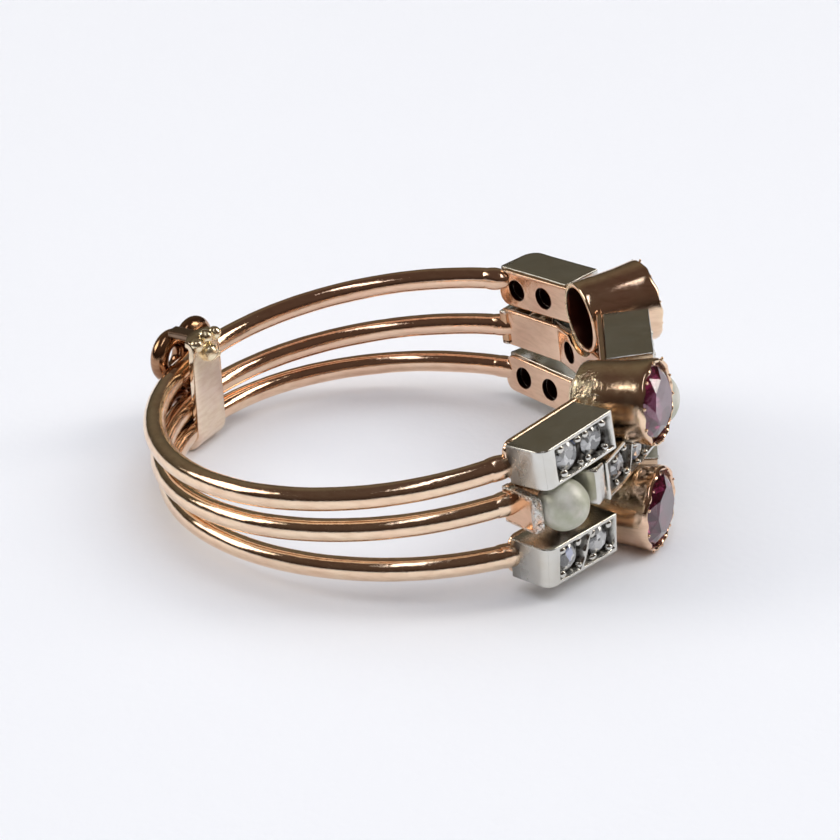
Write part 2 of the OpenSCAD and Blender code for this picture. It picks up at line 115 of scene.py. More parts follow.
EDGE_ROUND, BAR_ROUND, BAR_W, COLLET_ROOM, STRAP_WORN = 0.07, 0.1, 0.74, 0.03, 0.1
HOLE_SHARE, GRAIN_SHARE, GRAIN_SUNK = 0.4, 0.41, 0.1
SEAT_CUT, BED_CUT, PIT_CUT, CUT_WAVER = SEAT_DEPTH + 0.02, 0.26, 0.52, 0.035
LUMP_R, LUMP_STRETCH, LUMP_BACK = 0.46, 1.9, 2.8
WALL_OUT, WALL_HALF, WALL_CORNER, WALL_T, WALL_HOLLOW = 12.1, 0.73, 0.35, 0.34, 0.05
WALL_END, CLAW_RING_R, CLAW_AT, CLAW_SIZE = 2.62, 1.48, 2.85, (0.085, 0.06, 0.055)
SCALLOP_W, SCALLOP_DRIFT, COLLET_STEPS = 0.14, 0.22, 216
# Corners of a collet's folded lip: out from its back, radius, and how far a rim point moves both
LIP = ((2.72, 1.605, 0.05, -0.01), (2.79, 1.59, 0.1, -0.02), (2.83, 1.55, 0.12, -0.05),
       (2.82, 1.505, 0.11, -0.09), (2.78, 1.47, 0.06, -0.11), (2.7, 1.46, 0.02, -0.07))

# The floor's half width in metres, and the camera that is fitted to the photo's view

FLOOR_HALF = 1.5
CAMERA_EYE, CAMERA_AIM = Vector((2.15, -108.03, 53.34)), Vector((-0.47, 0, 2.833))
CAMERA_LENS, CAMERA_SHIFT = 134.72, 0.027


def turn(degrees, axis):
    return Matrix.Rotation(math.radians(degrees), 4, axis)


def shift(x, y, z):
    return Matrix.Translation((x, y, z))


def on_row(row):
    return shift(RING_X + row.shift, 0, RING_Z + row.rise) @ turn(-row.lean, "Y")


def at_setting(row, side, angle):
    """X outward, Y along the row away from the front, Z across it, in millimetres."""
    place = on_row(row) @ shift(-row.arc_back - row.shift, 0, -row.sink)
    if side == NEAR:
        place = place @ Matrix.Scale(-1, 4, (0, 1, 0))
    return place @ turn(angle, "Z")


def end_at(row, side):
    return row.far_end if side == FAR else END_ANGLE


def middle_kind(side):
    return MIDDLE_FAR_BLOCK if side == FAR else MIDDLE_NEAR_BLOCK


def end_kind(row, side):
    if side == FAR:
        return END_BLOCK
    return TOP_NEAR_BLOCK if row is TOP else BOTTOM_NEAR_BLOCK


def reach_at(angle):
    a = math.radians(angle)
    return (SETTING_IN * math.sin(a) - BORE_R - 0.12) / math.cos(a)


def ease(a, b, t):
    t = min(max((t - a) / (b - a), 0.0), 1.0)
    return t * t * (3 - 2 * t)


# Mesh tools

def new_object(name, data):
    obj = bpy.data.objects.new(name, data)
    bpy.context.scene.collection.objects.link(obj)
    return obj


def mesh_from(name, verts, faces, place=Matrix.Identity(4), marks=None):
    """A closed mesh from millimetre points, put in place, with outward faces."""
    mesh = bpy.data.meshes.new(name)
    mesh.from_pydata([(place @ Vector(v)) * MM for v in verts], [], faces)
    for label, values in (marks or {}).items():
        layer = mesh.attributes.new(label, "FLOAT", "POINT")
        layer.data.foreach_set("value", values)
    face_outwards(mesh)
    return mesh


def face_outwards(mesh):
    work = bmesh.new()
    work.from_mesh(mesh)
    bmesh.ops.recalc_face_normals(work, faces=work.faces)
    work.to_mesh(mesh)
    work.free()


def mesh_of(name, work, place):
    """The mesh of a bmesh drawn in millimetres, put in place, with outward faces."""
    work.transform(Matrix.Scale(MM, 4) @ place)
    mesh = bpy.data.meshes.new(name)
    work.to_mesh(mesh)
    work.free()
    face_outwards(mesh)
    return mesh


def rounded(u, v, centre_u, centre_v):
    """A point beyond a square corner's centre, drawn in to the corner's arc."""
    du, dv = u - centre_u, v - centre_v
    if du <= 0 or dv <= 0:
        return u, v
    scale = max(du, dv) / math.hypot(du, dv)
    return centre_u + du * scale, centre_v + dv * scale


def paint(obj, look):
    obj.data.materials.clear()
    obj.data.materials.append(finish(look))


def finish_piece(obj, look, slot, *nodes, crease=None):
    """Gives a piece its finish, ties it to the ring and hides the solids that it stands for.

    Edges sharper than crease, in degrees, stay sharp; without it the mesh keeps its own shading.
    """
    if crease:
        obj.data.shade_smooth()
        obj.data.set_sharp_from_angle(angle=math.radians(crease))
        obj.data.update()
    paint(obj, look)
    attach(obj, "root")
    if nodes:
        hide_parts(*nodes)


def baked(obj):
    """The object with its modifiers turned into a plain mesh."""
    graph = bpy.context.evaluated_depsgraph_get()
    mesh = bpy.data.meshes.new_from_object(obj.evaluated_get(graph))
    mesh.name = obj.name
    old = obj.data
    obj.modifiers.clear()
    obj.data = mesh
    if isinstance(old, bpy.types.Mesh) and old.users == 0:
        bpy.data.meshes.remove(old)
    return obj


def joined(name, objects):
    """One mesh object made of several, in the order given."""
    work = bmesh.new()
    for obj in objects:
        work.from_mesh(obj.data)
    mesh = bpy.data.meshes.new(name)
    work.to_mesh(mesh)
    work.free()
    for obj in objects:
        bpy.data.objects.remove(obj)
    return new_object(name, mesh)


def stations(low, high, edge, count):
    """Places along one side of a box, closer together in the rounded edge at each end."""
    steps = [low + edge * k / 3 for k in range(3)]
    steps += [low + edge + (high - low - 2 * edge) * k / count for k in range(count + 1)]
    return steps + [high - edge * (2 - k) / 3 for k in range(3)]


def soft_box(xs, ys, zs, edge, shape=None):
    """Points and quads of a box with rounded edges; shape(point, i, j, k) may move each point."""
    low, high = Vector((xs[0], ys[0], zs[0])), Vector((xs[-1], ys[-1], zs[-1]))
    counts = (len(xs) - 1, len(ys) - 1, len(zs) - 1)
    verts, where, faces = [], {}, []

    def point(i, j, k):
        if (i, j, k) not in where:
            p = Vector((xs[i], ys[j], zs[k]))
            core = Vector([min(max(p[a], low[a] + edge), high[a] - edge) for a in range(3)])
            away = p - core
            if away.length > 1e-9:
                p = core + away * (max(map(abs, away)) / away.length)
            if shape:
                p = shape(p, i, j, k)
            where[i, j, k] = len(verts)
            verts.append(p)
        return where[i, j, k]

    for axis in range(3):
        u, v = (axis + 1) % 3, (axis + 2) % 3
        for end in (0, counts[axis]):
            for a in range(counts[u]):
                for b in range(counts[v]):
                    quad = []
                    for da, db in ((0, 0), (1, 0), (1, 1), (0, 1)):
                        at = [0, 0, 0]
                        at[axis], at[u], at[v] = end, a + da, b + db
                        quad.append(point(*at))
                    faces.append(quad if end else quad[::-1])
    return verts, faces


def slab(name, place, sides, edge, shape=None, marks=None):
    """The mesh of a box with rounded edges; sides lists where each begins and ends, and its steps."""
    places = [stations(low, high, edge, count) for low, high, count in sides]
    return mesh_from(name, *soft_box(*places, edge, shape), place, marks)


def revolved(profile, count):
    """Points and quads of a ring-shaped solid about X; profile(angle) lists its (x, r) corners."""
    rings = [profile(2 * math.pi * k / count) for k in range(count)]
    n = len(rings[0])
    verts = []
    for k, ring in enumerate(rings):
        c, s = math.cos(2 * math.pi * k / count), math.sin(2 * math.pi * k / count)
        verts += [(x, r * c, r * s) for x, r in ring]
    faces = [
        (k * n + j, k * n + (j + 1) % n, (k + 1) % count * n + (j + 1) % n, (k + 1) % count * n + j)
        for k in range(count) for j in range(n)
    ]
    return verts, faces


def cutter(r_low, r_high, x_low, x_high, place):
    """A cone along X that other pieces are cut with."""
    work = bmesh.new()
    bmesh.ops.create_cone(work, cap_ends=True, segments=48, radius1=r_low, radius2=r_high,
                          depth=x_high - x_low)
    along = place @ shift((x_low + x_high) / 2, 0, 0) @ turn(90, "Y")
    return new_object("cutter", mesh_of("cutter", work, along))


def carved(obj, cutters):
    for tool in cutters:
        cut = obj.modifiers.new("cut", "BOOLEAN")
        cut.object = tool
        cut.solver = "EXACT"
    baked(obj)
    for tool in cutters:
        bpy.data.objects.remove(tool)
    return obj


def stone_cutters(kind, place, x_low, x_high):
    return [cutter(HOLE_SHARE * s.wide, HOLE_SHARE * s.wide, x_low, x_high,
                   place @ shift(0, s.along, s.up)) for s in kind.stones]


def mark_holes(mesh, settings):
    """Marks the walls of the light holes for painted shade; settings lists the block kind and place of
    each block with holes.
    """
    frames = [(kind, place.inverted()) for kind, place in settings]
    marks = []
    for face in mesh.polygons:
        mark = 0.0
        for kind, back in frames:
            p = back @ (face.center / MM)
            if p.x < BLOCK_OUT - SEAT_DEPTH and any(
                    math.hypot(p.y - s.along, p.z - s.up) < (HOLE_SHARE + 0.001) * s.wide
                    for s in kind.stones):
                mark = 1.0
        marks.append(mark)
    mesh.attributes.new("hole_shade", "FLOAT", "FACE").data.foreach_set("value", marks)


def collet_cutters(side):
    """Cones that leave room round the two collets of one side."""
    return [cutter(NECK_R + COLLET_ROOM, RIM_R + COLLET_ROOM, SETTING_IN - 0.2,
                   SETTING_IN + COLLET_LEN + 0.2, at_setting(row, side, RUBY_ANGLE))
            for row in STONE_ROWS.values()]


# Finishes

class Nodes:
    """A node tree, with short ways to add and join its nodes."""

    def __init__(self, tree):
        self.tree = tree
        tree.nodes.clear()

    def put(self, kind, inputs=None, **settings):
        """Adds a node, sets it, and joins or fills its inputs."""
        node = self.tree.nodes.new(kind)
        for key, value in settings.items():
            setattr(node, key, value)
        for key, value in (inputs or {}).items():
            socket = node.inputs[key]
            if isinstance(value, bpy.types.NodeSocket):
                self.tree.links.new(value, socket)
            else:
                socket.default_value = value
        return node

    def maths(self, operation, *values):
        return self.put("ShaderNodeMath", dict(enumerate(values)), operation=operation).outputs[0]

    def along(self, vector, direction):
        """How far a vector reaches in one direction."""
        return self.put("ShaderNodeVectorMath", {0: vector, 1: direction},
                        operation="DOT_PRODUCT").outputs["Value"]

    def ranged(self, value, low, high, to_low=0.0, to_high=1.0):
        return self.put("ShaderNodeMapRange", {
            "Value": value, "From Min": low, "From Max": high,
            "To Min": to_low, "To Max": to_high}).outputs["Result"]

    def blended(self, factor, *colors):
        """Mixes two colours, each a socket or an RGB triple."""
        first, second = (c if isinstance(c, bpy.types.NodeSocket) else (*c, 1) for c in colors)
        return self.put("ShaderNodeMix", {0: factor, 6: first, 7: second},
                        data_type="RGBA").outputs[2]


class Finish(Nodes):
    """A material's nodes, with the patterns that the ring's finishes share."""

    def __init__(self, name):
        self.material = bpy.data.materials.new(name)
        self.material.use_nodes = True
        super().__init__(self.material.node_tree)

    def millimetres(self, stretch=(1, 1, 1), rotation=(0, 0, 0)):
        coords = self.put("ShaderNodeTexCoord").outputs["Object"]
        return self.put("ShaderNodeMapping", {
            "Vector": coords, "Rotation": rotation,
            "Scale": [s / MM for s in stretch]}).outputs["Vector"]

    def marked(self, name):
        """How strongly a mesh is marked with one of its named attributes."""
        return self.put("ShaderNodeAttribute", attribute_name=name).outputs["Fac"]

    def cloudy(self, vector, scale, detail=3.0, rough=0.55):
        return self.put("ShaderNodeTexNoise", {
            "Vector": vector, "Scale": scale, "Detail": detail, "Roughness": rough}).outputs["Fac"]

    def soft_edges(self, radius_mm):
        return self.put("ShaderNodeBevel", {"Radius": radius_mm * MM}, samples=4).outputs["Normal"]

    def bumped(self, height, depth_mm, normal=None):
        inputs = {"Height": height, "Distance": depth_mm * MM, "Strength": 1.0}
        if normal is not None:
            inputs["Normal"] = normal
        return self.put("ShaderNodeBump", inputs).outputs["Normal"]

    def end(self, inputs):
        """Ends the material in one shader with the given inputs."""
        shader = self.put("ShaderNodeBsdfPrincipled", inputs)
        self.put("ShaderNodeOutputMaterial", {"Surface": shader.outputs[0]})
        return self.material


# Painted light: the gold is painted paler towards this side, towards the camera and the left, from -4 to
# 7 mm along it
PAINTED_LIT_SIDE = ((-0.6, -0.8, 0), -4.0, 7.0)


def gold_finish(name, warm, pale, solder=None, edge=0.0, grain=1.0, matt=1.0, painted_lit=PAINTED_LIT_SIDE):
    """Polished gold: mottled colour, one side painted paler as painted light, fine scratches and,
    where marked, pale solder that is partly a painted highlight.

    painted_lit names the direction in which the gold is painted paler as painted light, and where
    that starts and ends.
    """
    look = bpy.context.scene.ring_metal
    warm, pale = getattr(look, warm), getattr(look, pale)
    t = Finish(name)
    at = t.millimetres()
    patches = t.ranged(t.cloudy(at, 0.55, 4), 0.35, 0.65, 0.0, 0.45)
    toward, start, end = painted_lit
    # Painted light: worn rises towards the painted-lit side, where the gold is painted paler and made a
    # little rougher
    worn = t.ranged(t.along(at, toward), start, end)
    color = t.blended(t.maths("ADD", patches, t.maths("MULTIPLY", worn, 0.6)), warm, pale)
    smear = t.ranged(t.cloudy(t.millimetres(stretch=(1, 1, 4)), 1.7, 5), 0.42, 0.7)
    color = t.blended(t.maths("MULTIPLY", smear, 0.35), color, look.gold_tarnish)
    rough = t.ranged(t.cloudy(at, 3.5, 5), 0.3, 0.75,
                     look.gold_roughness * 0.5 * matt, look.gold_roughness * 1.5 * matt)
    rough = t.maths("MULTIPLY", rough, t.ranged(worn, 0.3, 0.9, 0.7, 1.3))
    fine = t.cloudy(t.millimetres(stretch=(1, 1, 7), rotation=(0.3, 0.2, 0.5)), 9, 3, 0.7)
    waves = t.cloudy(at, 1.6, 2)
    normal = t.soft_edges(edge) if edge else None
    normal = t.bumped(waves, 0.012, normal)
    normal = t.bumped(fine, 0.0022 * grain, normal)
    # Painted shade: bores, the walls of the light holes and the strap under the knot are painted in the
    # dark bore colour, and made rougher
    deep = t.ranged(t.marked("recess"), 0.0, 1.4)
    deep = t.maths("MAXIMUM", deep, t.marked("hole_shade"))
    color = t.blended(deep, color, look.gold_bore)
    rough = t.maths("ADD", rough, t.maths("MULTIPLY", deep, 0.25))
    # The solder mark is partly real pitted solder and partly a painted highlight; on the end walls it
    # paints a silver-white highlight
    if solder:
        mark = t.marked("solder")
        pits = t.put("ShaderNodeTexVoronoi", {"Vector": at, "Scale": 7.0}).outputs["Distance"]
        ragged = t.maths("MULTIPLY", mark, t.ranged(t.cloudy(at, 2.5, 4), 0.3, 0.5))
        color = t.blended(ragged, color, getattr(look, solder))
        rough = t.maths("ADD", rough, t.maths("MULTIPLY", ragged, 0.16))
        height = t.maths("MULTIPLY", t.ranged(pits, 0.0, 0.45, 0.0, 0.12), ragged)
        lumps = t.maths("MULTIPLY", t.cloudy(at, 1.1, 1.5), ragged)
        normal = t.bumped(t.maths("ADD", height, lumps), 0.09, normal)
    return t.end({
        "Base Color": color, "Metallic": 1.0, "Roughness": rough, "Normal": normal})


def silver_finish():
    """Greyed silver: bright where it is worn, dark with patina in the cut recesses round the stones, and
    painted shade where the blocks meet the wires and on the walls of the light holes.
    """
    look = bpy.context.scene.ring_metal
    t = Finish("old_silver")
    at = t.millimetres()
    patches = t.ranged(t.cloudy(at, 0.9, 4), 0.3, 0.7)
    color = t.blended(patches, look.silver_color, look.silver_warm)
    patchy = t.ranged(t.cloudy(at, 4, 4), 0.25, 0.6, 0.75, 1.0)
    # Patina in the cut recesses, and painted shade where the blocks meet the wires
    grime_and_shade = t.maths("MULTIPLY", t.ranged(t.marked("recess"), 0.0, 1.0), patchy)
    color = t.blended(grime_and_shade, color, look.silver_recess)
    # Painted shade on the walls of the light holes, in the dark bore colour
    hole_shade = t.marked("hole_shade")
    color = t.blended(hole_shade, color, look.gold_bore)
    rough = t.ranged(t.cloudy(at, 4, 5), 0.3, 0.75,
                     look.silver_roughness * 0.6, look.silver_roughness * 1.6)
    rough = t.maths("ADD", rough, t.maths("MULTIPLY", t.maths("MAXIMUM", grime_and_shade, hole_shade), 0.3))
    scratches = t.cloudy(t.millimetres(stretch=(1, 6, 1), rotation=(0.1, 0.2, 0.7)), 8, 4, 0.75)
    normal = t.bumped(t.cloudy(at, 1.4, 2), 0.012, t.soft_edges(0.03))
    normal = t.bumped(scratches, 0.0025, normal)
    return t.end({
        "Base Color": color, "Metallic": 1.0, "Roughness": rough, "Normal": normal})


def stone_finish(name, pale, clear, deep, painted_glint, ior, through, share, rare):
    """A cut stone: broken patches of painted highlight and painted shade that stand for its
    reflections, one depth to each facet, and small flaws.

    share is the number of patches to a millimetre, and all but rare of them hold no painted glint.
    """
    t = Finish(name)
    at = t.millimetres()
    facing = t.put("ShaderNodeNewGeometry").outputs["True Normal"]
    step = t.put("ShaderNodeVectorMath", {0: facing, 1: (0.03, 0.03, 0.03)}, operation="SNAP")
    facet = t.put("ShaderNodeTexWhiteNoise", {"Vector": step.outputs[0]}).outputs["Value"]
    cells = t.put("ShaderNodeTexVoronoi", {"Vector": at, "Scale": share},
                  distance="MANHATTAN").outputs["Color"]
    patch = t.put("ShaderNodeSeparateColor", {"Color": cells}).outputs
    # Painted reflections: each facet and patch is painted dark, clear or pale at random, and a rare
    # patch gets a painted glint
    chance = t.maths("ADD", t.maths("MULTIPLY", facet, 0.4), t.maths("MULTIPLY", patch[0], 0.6))
    color = t.blended(t.ranged(chance, 0.3, 0.55), deep, clear)
    color = t.blended(t.ranged(chance, 0.6, 0.72), color, pale)
    color = t.blended(t.ranged(patch[1], rare, rare + 0.02), color, painted_glint)
    specks = t.ranged(t.cloudy(at, 5, 5), 0.52, 0.75, 0.0, 0.35)
    color = t.blended(specks, color, deep)
    rough = t.ranged(t.cloudy(at, 6, 3), 0.4, 0.8, 0.015, 0.08)
    return t.end({
        "Base Color": color, "Roughness": rough, "IOR": ior,
        "Transmission Weight": through, "Coat Weight": 0.5, "Coat Roughness": 0.03})


def pearl_finish():
    """Nacre: satin, with soft cream, green and rose clouds and a fine grain."""
    gems = bpy.context.scene.ring_stones
    t = Finish("pearl")
    at = t.millimetres()
    clouds = t.ranged(t.cloudy(at, 0.9, 3), 0.35, 0.65)
    color = t.blended(clouds, gems.pearl_color, gems.pearl_green)
    rosy = t.ranged(t.cloudy(at, 2.2, 4), 0.5, 0.75, 0.0, 0.4)
    color = t.blended(rosy, color, gems.pearl_rose)
    normal = t.bumped(t.cloudy(at, 1.6, 3), 0.05)
    normal = t.bumped(t.cloudy(at, 9, 4), 0.008, normal)
    return t.end({
        "Base Color": color, "Roughness": 0.42, "Normal": normal, "Specular IOR Level": 0.9,
        "Metallic": 0.25, "Coat Weight": 0.2, "Coat Roughness": 0.4})


def floor_finish(pale):
    t = Finish("pale_paper")
    at = t.put("ShaderNodeTexCoord").outputs["Object"]
    cloud = t.ranged(t.cloudy(at, 14, 4), 0.3, 0.7)
    color = t.blended(cloud, pale, [c * 0.985 for c in pale])
    grain = t.bumped(t.cloudy(at, 2500, 3), 0.02)
    return t.end({
        "Base Color": color, "Roughness": 0.55, "Specular IOR Level": 0.25, "Normal": grain})


UP = (0, 0, 1)
# Each gold's two colours, and how it differs from the wires' plain polish
GOLDS = {
    "wire_gold": ("gold_rose", "gold_pale", {}),
    "plate_gold": ("gold_rose", "gold_pale", {"edge": 0.05}),
    "collet_gold": ("gold_rose", "gold_solder", {"solder": "gold_solder", "matt": 2.2}),
    "low_collet_gold": ("gold_rose", "gold_pale", {"solder": "gold_solder", "matt": 1.8}),
    # The end walls take the tarnish colour and blend to rose where painted lit or in random patches.
    # Along the outer edge they are painted silver-white as a painted highlight
    "wall_gold": ("gold_tarnish", "gold_rose", {"solder": "silver_color", "edge": 0.05}),
    # The strap is painted paler from 2.2 to 4.2 mm up, towards the solder colour, as a painted highlight
    "keeper_gold": ("gold_strap", "gold_solder",
                    {"edge": 0.04, "grain": 0.0, "matt": 2.0, "painted_lit": (UP, 2.2, 4.2)}),
    "bead_gold": ("gold_solder", "gold_solder", {"matt": 3.6}),
    # The knot is painted dark brown as painted shade, and paler from 3.2 mm up as painted light
    "knot_gold": ("gold_knot", "gold_tarnish", {"matt": 2.0, "painted_lit": (UP, 3.2, 6.0)}),
}
FINISHES = {}


def make_finish(name):
    gems = bpy.context.scene.ring_stones
    if name in GOLDS:
        warm, pale, surface = GOLDS[name]
        return gold_finish(name, warm, pale, **surface)
    if name == "ruby":
        return stone_finish(name, gems.ruby_pale, gems.ruby_color, gems.ruby_deep, gems.ruby_glint,
                            ior=1.77, through=0.8, share=1.1, rare=0.9)
    if name == "diamond":
        return stone_finish(name, (1, 1, 1), gems.diamond_color, gems.diamond_grey,
                            gems.diamond_glint, ior=2.2, through=0.3, share=3.2, rare=0.97)
    return pearl_finish() if name == "pearl" else silver_finish()


def finish(name):
    """The ring's finishes, each made once from the settings."""
    if name not in FINISHES:
        FINISHES[name] = make_finish(name)
    return FINISHES[name]


# Repeating shapes

class Tree(Nodes):
    """A Geometry Nodes tree with named inputs, and the object that it runs on."""

    def __init__(self, name, inputs):
        super().__init__(bpy.data.node_groups.new(name, "GeometryNodeTree"))
        face = self.tree.interface
        face.new_socket(name="Geometry", in_out="INPUT", socket_type="NodeSocketGeometry")
        face.new_socket(name="Geometry", in_out="OUTPUT", socket_type="NodeSocketGeometry")
        self.keys = {}
        for label, kind, value in inputs:
            socket = face.new_socket(name=label, in_out="INPUT", socket_type=f"NodeSocket{kind}")
            if value is not None:
                socket.default_value = value
            self.keys[label] = socket.identifier
        self.given = self.put("NodeGroupInput").outputs

    def between(self, low, high):
        """A random number or vector for each point, by the tree's seed."""
        kind, at = ("FLOAT", 2) if isinstance(low, float) else ("FLOAT_VECTOR", 0)
        node = self.put("FunctionNodeRandomValue", {"Seed": self.given["Seed"]}, data_type=kind)
        node.inputs[at].default_value, node.inputs[at + 1].default_value = low, high
        return node.outputs[at // 2]

    def end(self, geometry):
        """Shades, realizes and paints what the tree makes."""
        smooth = self.put("GeometryNodeSetShadeSmooth", {"Geometry": geometry})
        real = self.put("GeometryNodeRealizeInstances", {"Geometry": smooth.outputs[0]})
        painted = self.put("GeometryNodeSetMaterial", {
            "Geometry": real.outputs[0], "Material": self.given["Finish"]})
        self.put("NodeGroupOutput", {"Geometry": painted.outputs[0]})

    def run(self, name, look, values, place, points=()):
        """The tree's mesh, grown on points given in millimetres, as an object put in place."""
        mesh = bpy.data.meshes.new(name)
        mesh.from_pydata([Vector(p) * MM for p in points], [], [])
        obj = new_object(name, mesh)
        modifier = obj.modifiers.new("grow", "NODES")
        modifier.node_group = self.tree
        for label, value in {**values, "Finish": finish(look)}.items():
            modifier[self.keys[label]] = value
        baked(obj)
        in_metres = Matrix.Scale(MM, 4) @ place @ Matrix.Scale(1 / MM, 4)
        obj.data.transform(in_metres)
        if in_metres.determinant() < 0:
            obj.data.flip_normals()
        return obj


def wire_tree():
    """A drawn wire along an open circle, narrower at its very ends and a little uneven."""
    t = Tree("bent_wire", [
        ("Ring Radius", "Float", RING_R * MM), ("Wire Radius", "Float", WIRE_R * MM),
        ("From Angle", "Float", 1.0), ("Sweep", "Float", 4.0), ("Waver", "Float", 0.0),
        ("Finish", "Material", None),
    ])
    arc = t.put("GeometryNodeCurveArc", {
        "Resolution": 420, "Radius": t.given["Ring Radius"],
        "Start Angle": t.given["From Angle"], "Sweep Angle": t.given["Sweep"]})
    along = t.put("GeometryNodeSplineParameter").outputs["Factor"]
    to_end = t.maths("SUBTRACT", 0.5, t.maths("ABSOLUTE", t.maths("SUBTRACT", along, 0.5)))
    taper = t.put("ShaderNodeMapRange", {
        "Value": to_end, "From Max": 0.006, "To Min": 0.55}, interpolation_type="SMOOTHSTEP")
    profile = t.put("GeometryNodeCurvePrimitiveCircle", {
        "Resolution": 32, "Radius": t.given["Wire Radius"]})
    swept = t.put("GeometryNodeCurveToMesh", {
        "Curve": arc.outputs[0], "Profile Curve": profile.outputs[0],
        "Scale": taper.outputs["Result"], "Fill Caps": True})
    cloud = t.put("ShaderNodeTexNoise", {"Scale": 620.0, "Detail": 2.0}).outputs["Fac"]
    level = t.maths("MULTIPLY", t.maths("SUBTRACT", cloud, 0.5), t.given["Waver"])
    normal = t.put("GeometryNodeInputNormal").outputs[0]
    lift = t.put("ShaderNodeVectorMath", {0: normal, "Scale": level}, operation="SCALE").outputs[0]
    wavy = t.put("GeometryNodeSetPosition", {"Geometry": swept.outputs[0], "Offset": lift})
    t.end(wavy.outputs[0])
    return t


def claw_tree():
    """Small turned-over points round the rim of a collet, about X."""
    t = Tree("rim_points", [
        ("Count", "Int", 9), ("Rim Radius", "Float", 1.5 * MM), ("Size", "Vector", (0.1, 0.1, 0.1)),
        ("Seed", "Int", 0), ("Finish", "Material", None),
    ])
    circle = t.put("GeometryNodeMeshCircle", {
        "Vertices": t.given["Count"], "Radius": t.given["Rim Radius"]})
    moved = t.put("GeometryNodeSetPosition", {
        "Geometry": circle.outputs[0],
        "Offset": t.between((-0.00011, -0.00011, -0.00002), (0.00011, 0.00011, 0.00002))})
    ball = t.put("GeometryNodeMeshIcoSphere", {"Radius": 0.001, "Subdivisions": 4})
    shaped = t.put("GeometryNodeTransform", {"Geometry": ball.outputs[0], "Scale": t.given["Size"]})
    outward = t.put("GeometryNodeInputPosition").outputs[0]
    facing = t.put("FunctionNodeAlignRotationToVector", {"Vector": outward}, axis="X",
                   pivot_axis="Z")
    grown = t.put("GeometryNodeInstanceOnPoints", {
        "Points": moved.outputs[0], "Instance": shaped.outputs[0],
        "Rotation": facing.outputs[0], "Scale": t.between(0.7, 1.15)})
    t.end(grown.outputs[0])
    return t


def grain_tree():
    """Raised grains of silver, one on each given point, no two alike."""
    t = Tree("raised_grains", [
        ("Grain Radius", "Float", 0.1 * MM), ("Seed", "Int", 0), ("Finish", "Material", None),
    ])
    ball = t.put("GeometryNodeMeshIcoSphere", {"Radius": t.given["Grain Radius"], "Subdivisions": 3})
    grown = t.put("GeometryNodeInstanceOnPoints", {
        "Points": t.given["Geometry"], "Instance": ball.outputs[0],
        "Rotation": t.between((0, -0.4, -0.4), (3.1, 0.4, 0.4)),
        "Scale": t.between((0.7, 0.65, 0.65), (1.1, 1.35, 1.35))})
    t.end(grown.outputs[0])
    return t


# Pieces

def on_wire(row):
    return on_row(row) @ turn(row.roll, "X")


def make_wires():
    tree = wire_tree()
    for name, row in ROWS.items():
        start = math.radians(row.wire_end)
        wire = tree.run(f"{name}_wire", "wire_gold", {
            "Ring Radius": RING_R * MM, "Wire Radius": WIRE_R * MM, "From Angle": start,
            "Sweep": 2 * math.pi - 2 * start, "Waver": 0.03 * MM}, on_wire(row))
        finish_piece(wire, "wire_gold", "gold", f"{name}_band")


def make_joints():
    """Solder run round the wires where they meet the back plates."""
    for name, row in ROWS.items():
        lumps = []
        for side in (NEAR, FAR):
            place = (on_wire(row) @ turn((row.wire_end + LUMP_BACK) * side, "Z")
                     @ shift(RING_R, 0, 0) @ Matrix.Diagonal((1, LUMP_STRETCH, 1, 1)))
            lumps.append(ball("lump", LUMP_R, place, side * 2.1 + row.rise))
        finish_piece(joined(f"{name}_joints", lumps), "low_collet_gold", "gold", crease=60)


def collet_profile(seed, claws):
    """Section of a collet at each angle: a necked wall, a scalloped lip folded over the stone."""
    def wobble(angle, x, k):
        return noise.noise(Vector((1.4 * math.cos(angle), 1.4 * math.sin(angle), x * 0.7 + 9 * k)))

    def profile(angle):
        c = 0.0
        for k in range(claws):
            at = (k + SCALLOP_DRIFT * noise.noise(Vector((k * 1.7, seed, 0.3)))) * 2 * math.pi / claws
            gap = (angle - at + math.pi) % (2 * math.pi) - math.pi
            high = 0.5 + 0.3 * noise.noise(Vector((k * 2.3, seed, 4.1)))
            c = max(c, high * math.exp(-((gap / SCALLOP_W) ** 2)))
        wall = []
        for t in (0.0, 0.12, 0.25, 0.4, 0.55, 0.7, 0.82, 0.92, 1.0):
            x = NECK_AT + (WALL_END - NECK_AT) * t
            r = NECK_R + (RIM_R - NECK_R) * (t ** 1.4) - 0.03 * math.sin(math.pi * t)
            wall.append((x, r + 0.018 * wobble(angle, x, seed)))
        back = [(0.0, BORE_R + 0.12), (0.02, BORE_R + 0.19), (0.07, BORE_R + 0.225),
                (0.14, BORE_R + 0.243), (0.3, NECK_R - 0.006)]
        rim = [(x + c * more, r + c * wider) for x, r, more, wider in LIP]
        inside = [(2.58, 1.48), (2.5, 1.5), (2.3, 1.36), (SEAT_AT, BORE_R), (1.2, BORE_R),
                  (0.14, BORE_R), (0.07, BORE_R + 0.015), (0.02, BORE_R + 0.05)]
        return [(SETTING_IN + x, r) for x, r in back + wall + rim + inside]
    return profile


